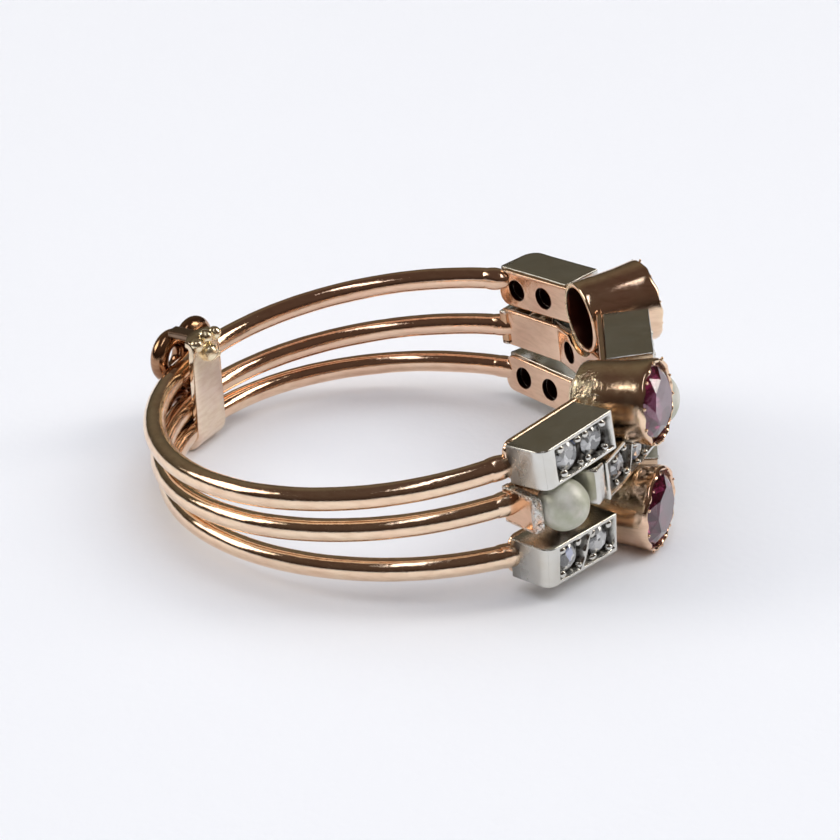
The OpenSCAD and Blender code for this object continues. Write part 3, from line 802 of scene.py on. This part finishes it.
def make_collets():
    shape = bpy.context.scene.ring_shape
    tree = claw_tree()
    for k, (level, where) in enumerate(itertools.product(STONE_ROWS, SIDES)):
        name, row = f"{level}_{where}", ROWS[level]
        place = at_setting(row, SIDES[where], RUBY_ANGLE)
        verts, faces = revolved(collet_profile(k + 1, shape.claw_count), COLLET_STEPS)
        marks, bores = [], []
        for x, y, z in verts:
            out = x - SETTING_IN
            # The solder mark at the collet's back, on its side away from the front, is partly real
            # solder and partly a painted highlight. On the lower row it also covers the upper side as
            # painted glints
            joint = ease(1.5, 0.5, out) * ease(-0.1, 0.7, y / NECK_R)
            if row is BOTTOM:
                joint = max(joint, 0.8 * ease(2.3, 1.6, out) * ease(0.3, 0.8, z / NECK_R))
            # Painted shade: the inside of the bore is painted in the dark bore colour
            bore = math.hypot(y, z) < BORE_R + 0.03 and out > 0.05
            marks.append(0.0 if bore else joint)
            bores.append(1.5 if bore else 0.0)
        mesh = mesh_from(f"{name}_collet", verts, faces, place, {"solder": marks, "recess": bores})
        gold = "collet_gold" if row is TOP else "low_collet_gold"
        finish_piece(new_object(f"{name}_collet", mesh), gold, "gold", f"{level}_band", crease=55)
        claws = tree.run(f"{name}_claws", gold, {
            "Count": shape.claw_count, "Rim Radius": CLAW_RING_R * MM, "Size": CLAW_SIZE,
            "Seed": 11 + k}, place @ shift(SETTING_IN + CLAW_AT, 0, 0) @ turn(90, "Y"))
        finish_piece(claws, gold, "gold")


def plate(row, side, angle, low, high, kind=None, corner=0.0):
    """A gold back plate with its light holes; those of the middle row clear the collets."""
    place = at_setting(row, side, angle)

    def shape(p, *_):
        y, z = rounded(p.y, abs(p.z), high - corner, BLOCK_H / 2 - corner)
        return Vector((p.x, y, math.copysign(z, p.z)))

    obj = new_object("plate", slab("plate", place, (
        (SETTING_IN, SETTING_IN + BACK_T, 1), (low, high, 30), (-BLOCK_H / 2, BLOCK_H / 2, 16),
    ), EDGE_ROUND, shape))
    tools = stone_cutters(kind, place, SETTING_IN - 0.5, SETTING_IN + 0.6) if kind else []
    if row is MIDDLE:
        for way in ((NEAR, FAR) if angle == 0 else (side,)):
            tools += collet_cutters(way)
    return carved(obj, tools) if tools else obj


def finish_backs(name, parts, settings):
    """Joins one row's plates and marks their light holes."""
    backs = joined(f"{name}_backs", parts)
    mark_holes(backs.data, settings)
    finish_piece(backs, "plate_gold", "gold", f"{name}_band", crease=40)


def make_plates():
    for name, row in STONE_ROWS.items():
        parts, settings = [], [(FRONT_BLOCK, at_setting(row, FAR, 0))]
        for side in (NEAR, FAR):
            angle, kind = end_at(row, side), end_kind(row, side)
            settings.append((kind, at_setting(row, side, angle)))
            parts.append(plate(row, side, angle, -reach_at(angle - RUBY_ANGLE), kind.length / 2,
                               kind, BACK_CORNER))
        parts.append(plate(row, FAR, 0, -reach_at(RUBY_ANGLE), reach_at(RUBY_ANGLE), FRONT_BLOCK))
        finish_backs(name, parts, settings)
    parts = []
    for side, pearl in ((NEAR, "near_pearl"), (FAR, "far_pearl")):
        parts.append(plate(MIDDLE, side, END_ANGLE, -SIDE_HALF, END_REACH))
        parts.append(plate(MIDDLE, side, MIDDLE_ANGLE, -CENTRE_HALF, SIDE_HALF, middle_kind(side)))
        parts.append(pearl_cup(*PEARLS[pearl]))
    parts.append(plate(MIDDLE, FAR, 0, -CENTRE_HALF, CENTRE_HALF))
    parts.append(pearl_cup(*PEARLS["front_pearl"]))
    finish_backs("middle", parts, [(middle_kind(side), at_setting(MIDDLE, side, MIDDLE_ANGLE))
                                   for side in (NEAR, FAR)])
    walls = joined("middle_walls", [end_wall(side) for side in (NEAR, FAR)])
    finish_piece(walls, "wall_gold", "gold", crease=40)


def end_wall(side):
    """The upright gold wall that closes the middle row, with rounded outer corners."""
    solder = []

    def shape(p, *_):
        x, z = rounded(p.x, abs(p.z), WALL_OUT - WALL_CORNER, WALL_HALF - WALL_CORNER)
        # Painted highlight: the outer edge is marked to be painted silver-white
        solder.append(ease(0.28, 0.16, min(WALL_OUT - x, WALL_HALF - z + 0.12)))
        z = math.copysign(z, p.z)
        hollow = WALL_HOLLOW * ease(0.0, 1.0, (x - SETTING_IN) / 1.9) * (1 - (z / WALL_HALF) ** 2)
        return Vector((x, p.y + (hollow if p.y > -WALL_T / 2 else 0), z))

    return new_object("wall", slab("wall", at_setting(MIDDLE, side, WALL_ANGLE), (
        (SETTING_IN, WALL_OUT, 18), (-WALL_T, 0, 2), (-WALL_HALF, WALL_HALF, 14),
    ), EDGE_ROUND, shape, {"solder": solder}))


def pearl_cup(side, angle, drop, r):
    """The short post and cup that a pearl is pegged on."""
    top, bed = PEARL_OUT - CUP_BACK, PEARL_OUT - r - GAP
    rim = min(top, PEARL_OUT - math.sqrt((r + GAP) ** 2 - CUP_R ** 2))

    def profile(_):
        return [(SETTING_IN + POST_IN, CORE_R), (SETTING_IN + POST_IN, POST_R),
                (top - POST_BACK, POST_R), (rim, CUP_R), (rim - GAP, POST_R),
                (bed, PEG_R), (bed, CORE_R)]

    place = at_setting(MIDDLE, side, angle) @ shift(0, 0, -drop)
    return new_object("cup", mesh_from("cup", *revolved(profile, 48), place))


def block_relief(kind, y, z, seed):
    """How far the outer face of a block is cut down at one place, in millimetres."""
    half, high = kind.length / 2, BLOCK_H / 2
    waver = CUT_WAVER * noise.noise(Vector((y * 2.6, z * 2.6, seed)))
    plain = half - max(kind.corner, BORDER) - (0.25 if kind.corner else 0.0) - y
    inside = min(plain, half + y - BORDER, high - abs(z) - BORDER) + waver
    cut = ease(-0.03, 0.05, inside)
    a = math.radians(RIB_SLANT)
    rib = abs((y - kind.rib) * math.cos(a) + z * math.sin(a)) + waver
    down = TRAY_DEPTH * cut * ease(RIB_W * 0.4, RIB_W * 0.85, rib)
    for stone in kind.stones:
        r = stone.wide / 2
        away = math.hypot(y - stone.along, z - stone.up)
        down = max(down, BED_CUT * cut * (1 - ease(r + 0.06, r + 0.2, away + waver)))
        down = max(down, SEAT_CUT * (1 - ease(r + 0.01, r + 0.07, away)))
        if away < r:
            down = SEAT_CUT + PIT_CUT * (1 - away / r)
    return down


def silver_block(name, row, side, angle, kind, seed):
    place = at_setting(row, side, angle)
    half, edge, r = kind.length / 2, 0.06, kind.corner
    deep, recess = (BLOCK_IN, BLOCK_OUT, 9), []
    last = len(stations(BLOCK_IN, BLOCK_OUT, edge, deep[2])) - 1

    def shape(p, i, *_):
        down = block_relief(kind, p.y, p.z, seed) if i == last else 0.0
        # Painted shade: the inner part of the block's end, where the wire meets it, is marked to be
        # painted dark. The cut trays and seats are marked for patina
        joint = ease(BLOCK_IN + 1.3, BLOCK_IN, p.x) * ease(half - 0.4, half, p.y)
        recess.append(max(ease(0.02, 0.2, down), 0.6 * joint))
        p = Vector((p.x - down, p.y, p.z))
        dent = 0.012 * noise.noise(p * 0.9 + Vector((0, 0, seed)))
        p += Vector((dent, dent, dent))
        return Vector((*rounded(p.x, p.y, BLOCK_OUT - r, half - r), p.z)) if r else p

    obj = new_object(name, slab(name, place, (
        deep, (-half, half, 96), (-BLOCK_H / 2, BLOCK_H / 2, 38),
    ), edge, shape, {"recess": recess}))
    holes = stone_cutters(kind, place, BLOCK_IN - 0.3, BLOCK_OUT - SEAT_DEPTH - 0.3)
    carved(obj, holes + (collet_cutters(side) if row is MIDDLE else []))
    mark_holes(obj.data, [(kind, place)])
    finish_piece(obj, "old_silver", "silver", name, crease=50)


def block_list():
    """Each block: its node, row, side, angle and kind."""
    blocks = []
    for name, row in STONE_ROWS.items():
        blocks += [(f"{name}_near_block", row, NEAR, END_ANGLE, end_kind(row, NEAR)),
                   (f"{name}_front_block", row, FAR, 0, FRONT_BLOCK),
                   (f"{name}_far_block", row, FAR, end_at(row, FAR), END_BLOCK)]
    return blocks + [(f"middle_{name}_block", MIDDLE, side, MIDDLE_ANGLE, middle_kind(side))
                     for name, side in SIDES.items()]


def make_blocks():
    for seed, block in enumerate(block_list()):
        silver_block(*block, seed * 3.7)


def make_grains():
    radius = bpy.context.scene.ring_shape.grain_radius * MM
    tree = grain_tree()
    for seed, (name, row, side, angle, kind) in enumerate(block_list()):
        spots = [(BLOCK_OUT - GRAIN_SUNK, stone.along + j * GRAIN_SHARE * stone.wide,
                  stone.up + k * GRAIN_SHARE * stone.wide)
                 for stone in kind.stones for j, k in CORNERS]
        grains = tree.run(name.replace("block", "grains"), "old_silver", {
            "Grain Radius": radius, "Seed": seed}, at_setting(row, side, angle), spots)
        finish_piece(grains, "old_silver", "silver")


def make_bars():
    for near_far, where in itertools.product(SIDES, BARS):
        name, (angle, along, up, high) = f"{near_far}_{where}_bar", BARS[where]
        mesh = slab(name, at_setting(MIDDLE, SIDES[near_far], angle) @ shift(0, 0, up), (
            (BLOCK_IN, BLOCK_OUT, 5), (along, along + BAR_W, 3), (-high / 2, high / 2, 8),
        ), BAR_ROUND)
        finish_piece(new_object(name, mesh), "old_silver", "silver", name, crease=50)


def make_stones():
    """Gives the cut stones their finish; their facets are the solids' own."""
    for name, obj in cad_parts.items():
        if "ruby" in name or "diamond" in name:
            paint(obj, "ruby" if "ruby" in name else "diamond")


def uneven_ball(name, r, place, seed, detail, depth, step):
    """A ball whose surface swells and sinks a little; place puts it, in millimetres."""
    work = bmesh.new()
    bmesh.ops.create_icosphere(work, subdivisions=detail, radius=r)
    for v in work.verts:
        v.co *= 1 + depth * noise.noise(v.co / r * step + Vector((seed, 0, 0)))
    return mesh_of(name, work, place)


def make_pearls():
    for k, (name, (side, angle, drop, r)) in enumerate(PEARLS.items()):
        place = at_setting(MIDDLE, side, angle) @ shift(PEARL_OUT, 0, -drop)
        mesh = uneven_ball(name, r, place, 5.1 * k, detail=5, depth=0.028, step=1.3)
        mesh.shade_smooth()
        finish_piece(new_object(f"{name}_nacre", mesh), "pearl", "pearl", name)


def line(start, end, count):
    """Points from the start towards the end, without the end itself."""
    return [tuple(a + (b - a) * t / count for a, b in zip(start, end)) for t in range(count)]


def bend(centre, r, start, count):
    """Points of a quarter turn about a centre, clockwise from the start angle."""
    turns = (math.radians(start - 90 * t / count) for t in range(count + 1))
    return [(centre[0] + r * math.cos(a), centre[1] + r * math.sin(a)) for a in turns]


def keeper_path():
    """Middle line (out, up) of the strap, from its lower tab up the wall to its upper tab."""
    half = KEEPER_T / 2
    low, high, top = LOW_BEND - half, HIGH_BEND - half, KEEPER_H - half
    low_at = (KEEPER_IN + LOW_BEND, LOW_BEND)
    high_at = (KEEPER_IN + KEEPER_LEAN + HIGH_BEND, KEEPER_H - HIGH_BEND)
    path = line((TAB_END, half), (low_at[0], half), 9) + bend(low_at, low, 270, 12)
    path += line(path[-1], (high_at[0] - high, high_at[1]), 16)[1:] + bend(high_at, high, 180, 10)
    return path + line((high_at[0], top), (TAB_END, top), 9)[1:] + [(TAB_END, top)]


def strap_section(wide, half, worn):
    """Corners (across, deep) of the strap's rounded section, with steps along its two flats."""
    points = []
    for side in (1, -1):
        for centre, start in ((wide - worn, 0), (worn - wide, 90)):
            for k in range(5):
                a = math.radians(start + 22.5 * k)
                points.append((side * (centre + worn * math.cos(a)),
                               side * (half - worn + worn * math.sin(a))))
            if start == 0:
                points += [(side * (wide - worn) * (1 - k / 6), side * half) for k in range(1, 12)]
    return points


def strap_mesh(place):
    """The folded strap, its corners and edges worn round."""
    path, half = keeper_path(), KEEPER_T / 2
    verts, faces, stains = [], [], []
    for n, (x, z) in enumerate(path):
        before, after = path[max(n - 1, 0)], path[min(n + 1, len(path) - 1)]
        along = Vector((after[0] - before[0], after[1] - before[1])).normalized()
        wide = (KEEPER_W + (TAB_W - KEEPER_W) * ease(TAB_FROM - 0.15, TAB_FROM + 0.1, x)) / 2
        wide -= 0.12 * ease(KEEPER_H - 0.9, KEEPER_H, z)
        section = strap_section(wide, half, STRAP_WORN)
        size = len(section)
        for across, deep in section:
            deep += 0.012 * noise.noise(Vector((across * 1.5, x * 1.5, z * 1.5)))
            verts.append((x + along.y * deep, across, z - along.x * deep))
            # Painted shade: the upper tab under the knot is marked to be painted in the dark bore colour
            stains.append(1.1 * ease(8.7, 9.1, x) if z > KNOT_Z else 0.0)
        if n:
            faces += [((n - 1) * size + k, (n - 1) * size + (k + 1) % size,
                       n * size + (k + 1) % size, n * size + k) for k in range(size)]
    faces += [list(range(size)), list(range((len(path) - 1) * size, len(path) * size))]
    return mesh_from("keeper_strap", verts, faces, place, {"recess": stains})


def ball(name, r, place, seed):
    """A bead of melted metal."""
    return new_object(name, uneven_ball(name, r, place, seed, detail=4, depth=0.09, step=0.9))


def make_keeper():
    """The keeper at the back: a folded strap, melted beads on it and an openwork knot."""
    place = shift(RING_X, 0, 0) @ turn(KEEPER_ANGLE, "Z")
    strap = new_object("keeper_strap", strap_mesh(place))
    finish_piece(strap, "keeper_gold", "gold", "keeper", crease=50)

    beads = joined("keeper_beads", [ball("bead", r, place @ shift(x, y, z), k * 3.1)
                                    for k, (x, y, z, r) in enumerate(BEADS)])
    finish_piece(beads, "bead_gold", "gold", crease=60)

    def wire(_):
        return [(KNOT_WIRE * math.cos(a), LOOP_R + KNOT_WIRE * math.sin(a))
                for a in (2 * math.pi * n / 20 for n in range(20))]

    centre = place @ turn(KNOT_TURN, "Z") @ shift(KNOT_OUT, 0, KNOT_Z)
    parts = [ball("bead", KNOT_BEAD, centre, 1.7)]
    verts, faces = revolved(wire, 48)
    for j, k in CORNERS:
        mesh = mesh_from("loop", verts, faces, centre @ shift(0, j * LOOP_SIDE, k * LOOP_UP))
        parts.append(new_object("loop", mesh))
    finish_piece(joined("keeper_knot", parts), "knot_gold", "gold", crease=60)


def add_lamp(name, azimuth, elevation, distance, size, power, color, in_gloss=True):
    light = bpy.data.lights.new(name, "AREA")
    light.shape = "RECTANGLE"
    light.size, light.size_y = size
    light.energy = power
    light.color = color
    lamp = new_object(name, light)
    a, e = math.radians(azimuth), math.radians(elevation)
    away = Vector((math.cos(e) * math.cos(a), math.cos(e) * math.sin(a), math.sin(e)))
    lamp.location = away * distance
    lamp.rotation_euler = away.to_track_quat("Z", "Y").to_euler()
    lamp.visible_glossy = in_gloss


def make_stage():
    stage = bpy.context.scene.ring_stage
    mesh = bpy.data.meshes.new("floor")
    mesh.from_pydata([(FLOOR_HALF * x, FLOOR_HALF * y, 0) for x, y in CORNERS], [], [(0, 2, 3, 1)])
    floor = new_object("floor", mesh)
    floor.data.materials.append(floor_finish(stage.floor_color))
    bpy.context.scene.world = studio(stage)

    cool, warm = (0.93, 0.955, 1.0), (1.0, 0.96, 0.88)
    add_lamp("overhead", 60, 80, 0.7, (1.6, 1.6), stage.overhead_power, cool, in_gloss=False)
    add_lamp("front_lamp", 261, 72, 0.5, (0.05, 0.3), stage.front_power, cool)
    add_lamp("left_lamp", 175, 32, 0.45, (0.24, 0.2), stage.left_power, warm)
    add_lamp("right_lamp", 13, 34, 0.45, (0.09, 0.35), stage.right_power, warm)

    lens = bpy.data.cameras.new("camera")
    lens.lens, lens.sensor_width, lens.shift_x = CAMERA_LENS, 36, CAMERA_SHIFT
    lens.clip_start, lens.clip_end = 0.001, 10
    camera = new_object("camera", lens)
    camera.location = CAMERA_EYE * MM
    camera.rotation_euler = (CAMERA_AIM - CAMERA_EYE).to_track_quat("-Z", "Y").to_euler()
    bpy.context.scene.camera = camera
    bpy.context.scene.view_settings.view_transform = "Standard"


def studio(stage):
    """The room: a pale wall to the camera, even light on the floor and a dim tent to the metal."""
    world = bpy.data.worlds.new("studio")
    world.use_nodes = True
    t = Nodes(world.node_tree)
    toward = t.put("ShaderNodeTexCoord").outputs["Generated"]
    height = t.put("ShaderNodeSeparateXYZ", {"Vector": toward}).outputs["Z"]
    behind = t.ranged(t.along(toward, (-0.4, 0.9, 0)), 0.45, 0.95)
    glow = t.ranged(height, 0.12, 0.6, stage.room_low, 1.0)
    color = t.blended(behind, stage.room_color, stage.room_back)
    room = t.put("ShaderNodeBackground", {"Color": color, "Strength": glow})
    fill = t.put("ShaderNodeBackground", {"Color": (0.9, 0.92, 1, 1), "Strength": stage.fill})
    wall = t.put("ShaderNodeBackground", {"Color": (0.9, 0.9, 0.94, 1), "Strength": 1.0})
    path = t.put("ShaderNodeLightPath")
    lit = t.put("ShaderNodeMixShader", {
        0: path.outputs["Is Diffuse Ray"], 1: room.outputs[0], 2: fill.outputs[0]})
    both = t.put("ShaderNodeMixShader", {
        0: path.outputs["Is Camera Ray"], 1: lit.outputs[0], 2: wall.outputs[0]})
    t.put("ShaderNodeOutputWorld", {"Surface": both.outputs[0]})
    return world


# Settings and operators

def color_setting(name, description, default):
    return FloatVectorProperty(name=name, description=description, default=default,
                               subtype="COLOR", size=3, min=0, max=1)


def share_setting(name, description, default, low=0.0, high=1.0):
    return FloatProperty(name=name, description=description, default=default, min=low, max=high,
                         subtype="FACTOR")


def power_setting(name, description, default):
    return FloatProperty(name=name, description=description, default=default, min=0, max=50,
                         unit="POWER")


class RingMetal(bpy.types.PropertyGroup):
    """Colours and polish of the gold and silver."""
    gold_rose: color_setting("Rose gold", "Base colour of the wires", (0.91, 0.61, 0.44))
    # gold_pale is what the gold is painted towards on its painted-lit side, a painted light, and in
    # random patches
    gold_pale: color_setting("Pale gold", "Colour of the rubbed gold", (0.97, 0.765, 0.56))
    gold_tarnish: color_setting("Gold tarnish", "Colour of the gold's stains", (0.62, 0.38, 0.22))
    gold_strap: color_setting("Strap", "Colour of the keeper's lower part", (0.88, 0.68, 0.57))
    # Painted shade: the knot is painted this dark brown
    gold_knot: color_setting("Knot", "Colour of the keeper's stained knot", (0.24, 0.11, 0.06))
    # Painted shade: the dark colour painted inside the bores, on the walls of the light holes and under
    # the knot
    gold_bore: color_setting("Bore", "Colour inside the collets and holes", (0.13, 0.045, 0.03))
    gold_solder: color_setting("Solder", "Colour of the pitted solder", (0.98, 0.86, 0.6))
    gold_roughness: share_setting("Gold roughness", "Mean roughness of the gold", 0.08, 0.02, 0.6)
    silver_color: color_setting("Silver", "Base colour of the blocks", (0.74, 0.74, 0.71))
    silver_warm: color_setting("Warm silver", "Colour of the silver's patches", (0.66, 0.63, 0.56))
    # The colour of the patina in the cut recesses, also painted as shade where the blocks meet the wires
    silver_recess: color_setting("Recess", "Colour of the grime in the cuts", (0.022, 0.018, 0.014))
    silver_roughness: share_setting("Silver roughness", "Mean roughness of the silver", 0.17,
                                    0.02, 0.6)


class RingShape(bpy.types.PropertyGroup):
    """Sizes of the hand-made details."""
    claw_count: IntProperty(name="Rim points", default=10, min=6, max=16,
                            description="Turned-over points round each ruby")
    grain_radius: FloatProperty(name="Grain radius", default=0.15, min=0.05, max=0.25,
                                description="Radius of a silver grain, in millimetres")


class RingStones(bpy.types.PropertyGroup):
    """Colours of the stones and pearls."""
    # The stones' lit facets and bright patches are painted highlights and painted glints, and their dark
    # facets painted shade; the dark colours also tint the small flaws
    ruby_pale: color_setting("Pale ruby", "Colour of the ruby's lit facets", (0.62, 0.22, 0.36))
    ruby_color: color_setting("Ruby", "Colour of the ruby", (0.28, 0.025, 0.09))
    ruby_deep: color_setting("Deep ruby", "Colour of the ruby's dark facets", (0.1, 0.004, 0.02))
    ruby_glint: color_setting("Ruby glint", "Colour of its few bright patches", (0.95, 0.35, 0.6))
    diamond_color: color_setting("Diamond", "Colour of the diamonds", (0.72, 0.72, 0.71))
    diamond_grey: color_setting("Grey diamond", "Their darker facets", (0.09, 0.09, 0.09))
    diamond_glint: color_setting("Diamond glint", "Their few blue patches", (0.5, 0.58, 0.95))
    pearl_color: color_setting("Pearl", "Colour of the pearls", (0.72, 0.7, 0.62))
    pearl_green: color_setting("Green pearl", "The pearls' greenish clouds", (0.46, 0.47, 0.33))
    pearl_rose: color_setting("Rose pearl", "The pearls' rosy clouds", (0.88, 0.78, 0.74))


class RingStage(bpy.types.PropertyGroup):
    """Floor and lights."""
    floor_color: color_setting("Floor", "Colour of the floor", (0.9, 0.9, 0.93))
    room_color: color_setting("Room", "What the metal mirrors above the floor", (0.088, 0.062, 0.05))
    room_back: color_setting("Back of the room", "What it mirrors from behind", (0.185, 0.165, 0.12))
    fill: share_setting("Fill light", "Strength of the even light that fills the shadows", 0.1)
    room_low: share_setting("Low room light", "Share of the room's light that is left near the floor",
                            0.35)
    overhead_power: power_setting("Overhead light", "Power of the large soft light above", 9)
    front_power: power_setting("Front lamp", "Power of the small lamp above the camera", 0.2)
    left_power: power_setting("Left lamp", "Power of the lamp on the left", 0.5)
    right_power: power_setting("Right lamp", "Power of the lamp on the right", 0.6)


class RING_OT_wires(bpy.types.Operator):
    """Sweep the three wires of the hoop"""
    bl_idname = "ring.wires"
    bl_label = "Wires"

    def execute(self, context):
        make_wires()
        return {"FINISHED"}


class RING_OT_joints(bpy.types.Operator):
    """Run solder round the wires' ends"""
    bl_idname = "ring.joints"
    bl_label = "Solder Joints"

    def execute(self, context):
        make_joints()
        return {"FINISHED"}


class RING_OT_collets(bpy.types.Operator):
    """Turn the four ruby collets and fold their rims over the stones"""
    bl_idname = "ring.collets"
    bl_label = "Ruby Collets"

    def execute(self, context):
        make_collets()
        return {"FINISHED"}


class RING_OT_plates(bpy.types.Operator):
    """Cut the gold back plates, the end walls and the pearl cups"""
    bl_idname = "ring.plates"
    bl_label = "Back Plates"

    def execute(self, context):
        make_plates()
        return {"FINISHED"}


class RING_OT_blocks(bpy.types.Operator):
    """Carve the silver blocks with their trays, ribs and stone seats"""
    bl_idname = "ring.blocks"
    bl_label = "Silver Blocks"

    def execute(self, context):
        make_blocks()
        return {"FINISHED"}


class RING_OT_grains(bpy.types.Operator):
    """Raise the grains that hold the diamonds"""
    bl_idname = "ring.grains"
    bl_label = "Grains"

    def execute(self, context):
        make_grains()
        return {"FINISHED"}


class RING_OT_bars(bpy.types.Operator):
    """Stand the silver bars beside the pearls"""
    bl_idname = "ring.bars"
    bl_label = "Spacer Bars"

    def execute(self, context):
        make_bars()
        return {"FINISHED"}


class RING_OT_stones(bpy.types.Operator):
    """Polish the rubies and diamonds"""
    bl_idname = "ring.stones"
    bl_label = "Cut Stones"

    def execute(self, context):
        make_stones()
        return {"FINISHED"}


class RING_OT_pearls(bpy.types.Operator):
    """Grow the three pearls"""
    bl_idname = "ring.pearls"
    bl_label = "Pearls"

    def execute(self, context):
        make_pearls()
        return {"FINISHED"}


class RING_OT_keeper(bpy.types.Operator):
    """Finish the keeper at the back of the hoop"""
    bl_idname = "ring.keeper"
    bl_label = "Keeper"

    def execute(self, context):
        make_keeper()
        return {"FINISHED"}


class RING_OT_stage(bpy.types.Operator):
    """Lay the floor, hang the lights and place the camera"""
    bl_idname = "ring.stage"
    bl_label = "Stage"

    def execute(self, context):
        make_stage()
        return {"FINISHED"}


OPERATORS = (RING_OT_wires, RING_OT_joints, RING_OT_collets, RING_OT_plates, RING_OT_blocks,
             RING_OT_grains, RING_OT_bars, RING_OT_stones, RING_OT_pearls, RING_OT_keeper, RING_OT_stage)
SETTINGS = {"ring_metal": RingMetal, "ring_shape": RingShape, "ring_stones": RingStones,
            "ring_stage": RingStage}


class RING_PT_panel(bpy.types.Panel):
    """Lists the ring's pieces and settings"""
    bl_idname = "RING_PT_panel"
    bl_label = "Ruby Ring"
    bl_space_type = "VIEW_3D"
    bl_region_type = "UI"
    bl_category = "Ring"

    def draw(self, context):
        layout = self.layout
        for operator in OPERATORS:
            layout.operator(operator.bl_idname)
        for name, group in SETTINGS.items():
            box = layout.box()
            box.label(text=group.__doc__)
            for key in group.__annotations__:
                box.prop(getattr(context.scene, name), key)


def register():
    for group in SETTINGS.values():
        bpy.utils.register_class(group)
    for name, group in SETTINGS.items():
        setattr(bpy.types.Scene, name, PointerProperty(type=group))
    for operator in OPERATORS:
        bpy.utils.register_class(operator)
    bpy.utils.register_class(RING_PT_panel)


def unregister():
    bpy.utils.unregister_class(RING_PT_panel)
    for operator in reversed(OPERATORS):
        bpy.utils.unregister_class(operator)
    for name in SETTINGS:
        delattr(bpy.types.Scene, name)
    for group in SETTINGS.values():
        bpy.utils.unregister_class(group)


def main():
    register()
    bpy.ops.ring.wires()
    bpy.ops.ring.joints()
    bpy.ops.ring.collets()
    bpy.ops.ring.plates()
    bpy.ops.ring.blocks()
    bpy.ops.ring.grains()
    bpy.ops.ring.bars()
    bpy.ops.ring.stones()
    bpy.ops.ring.pearls()
    bpy.ops.ring.keeper()
    bpy.ops.ring.stage()


if __name__ == "__main__":
    main()
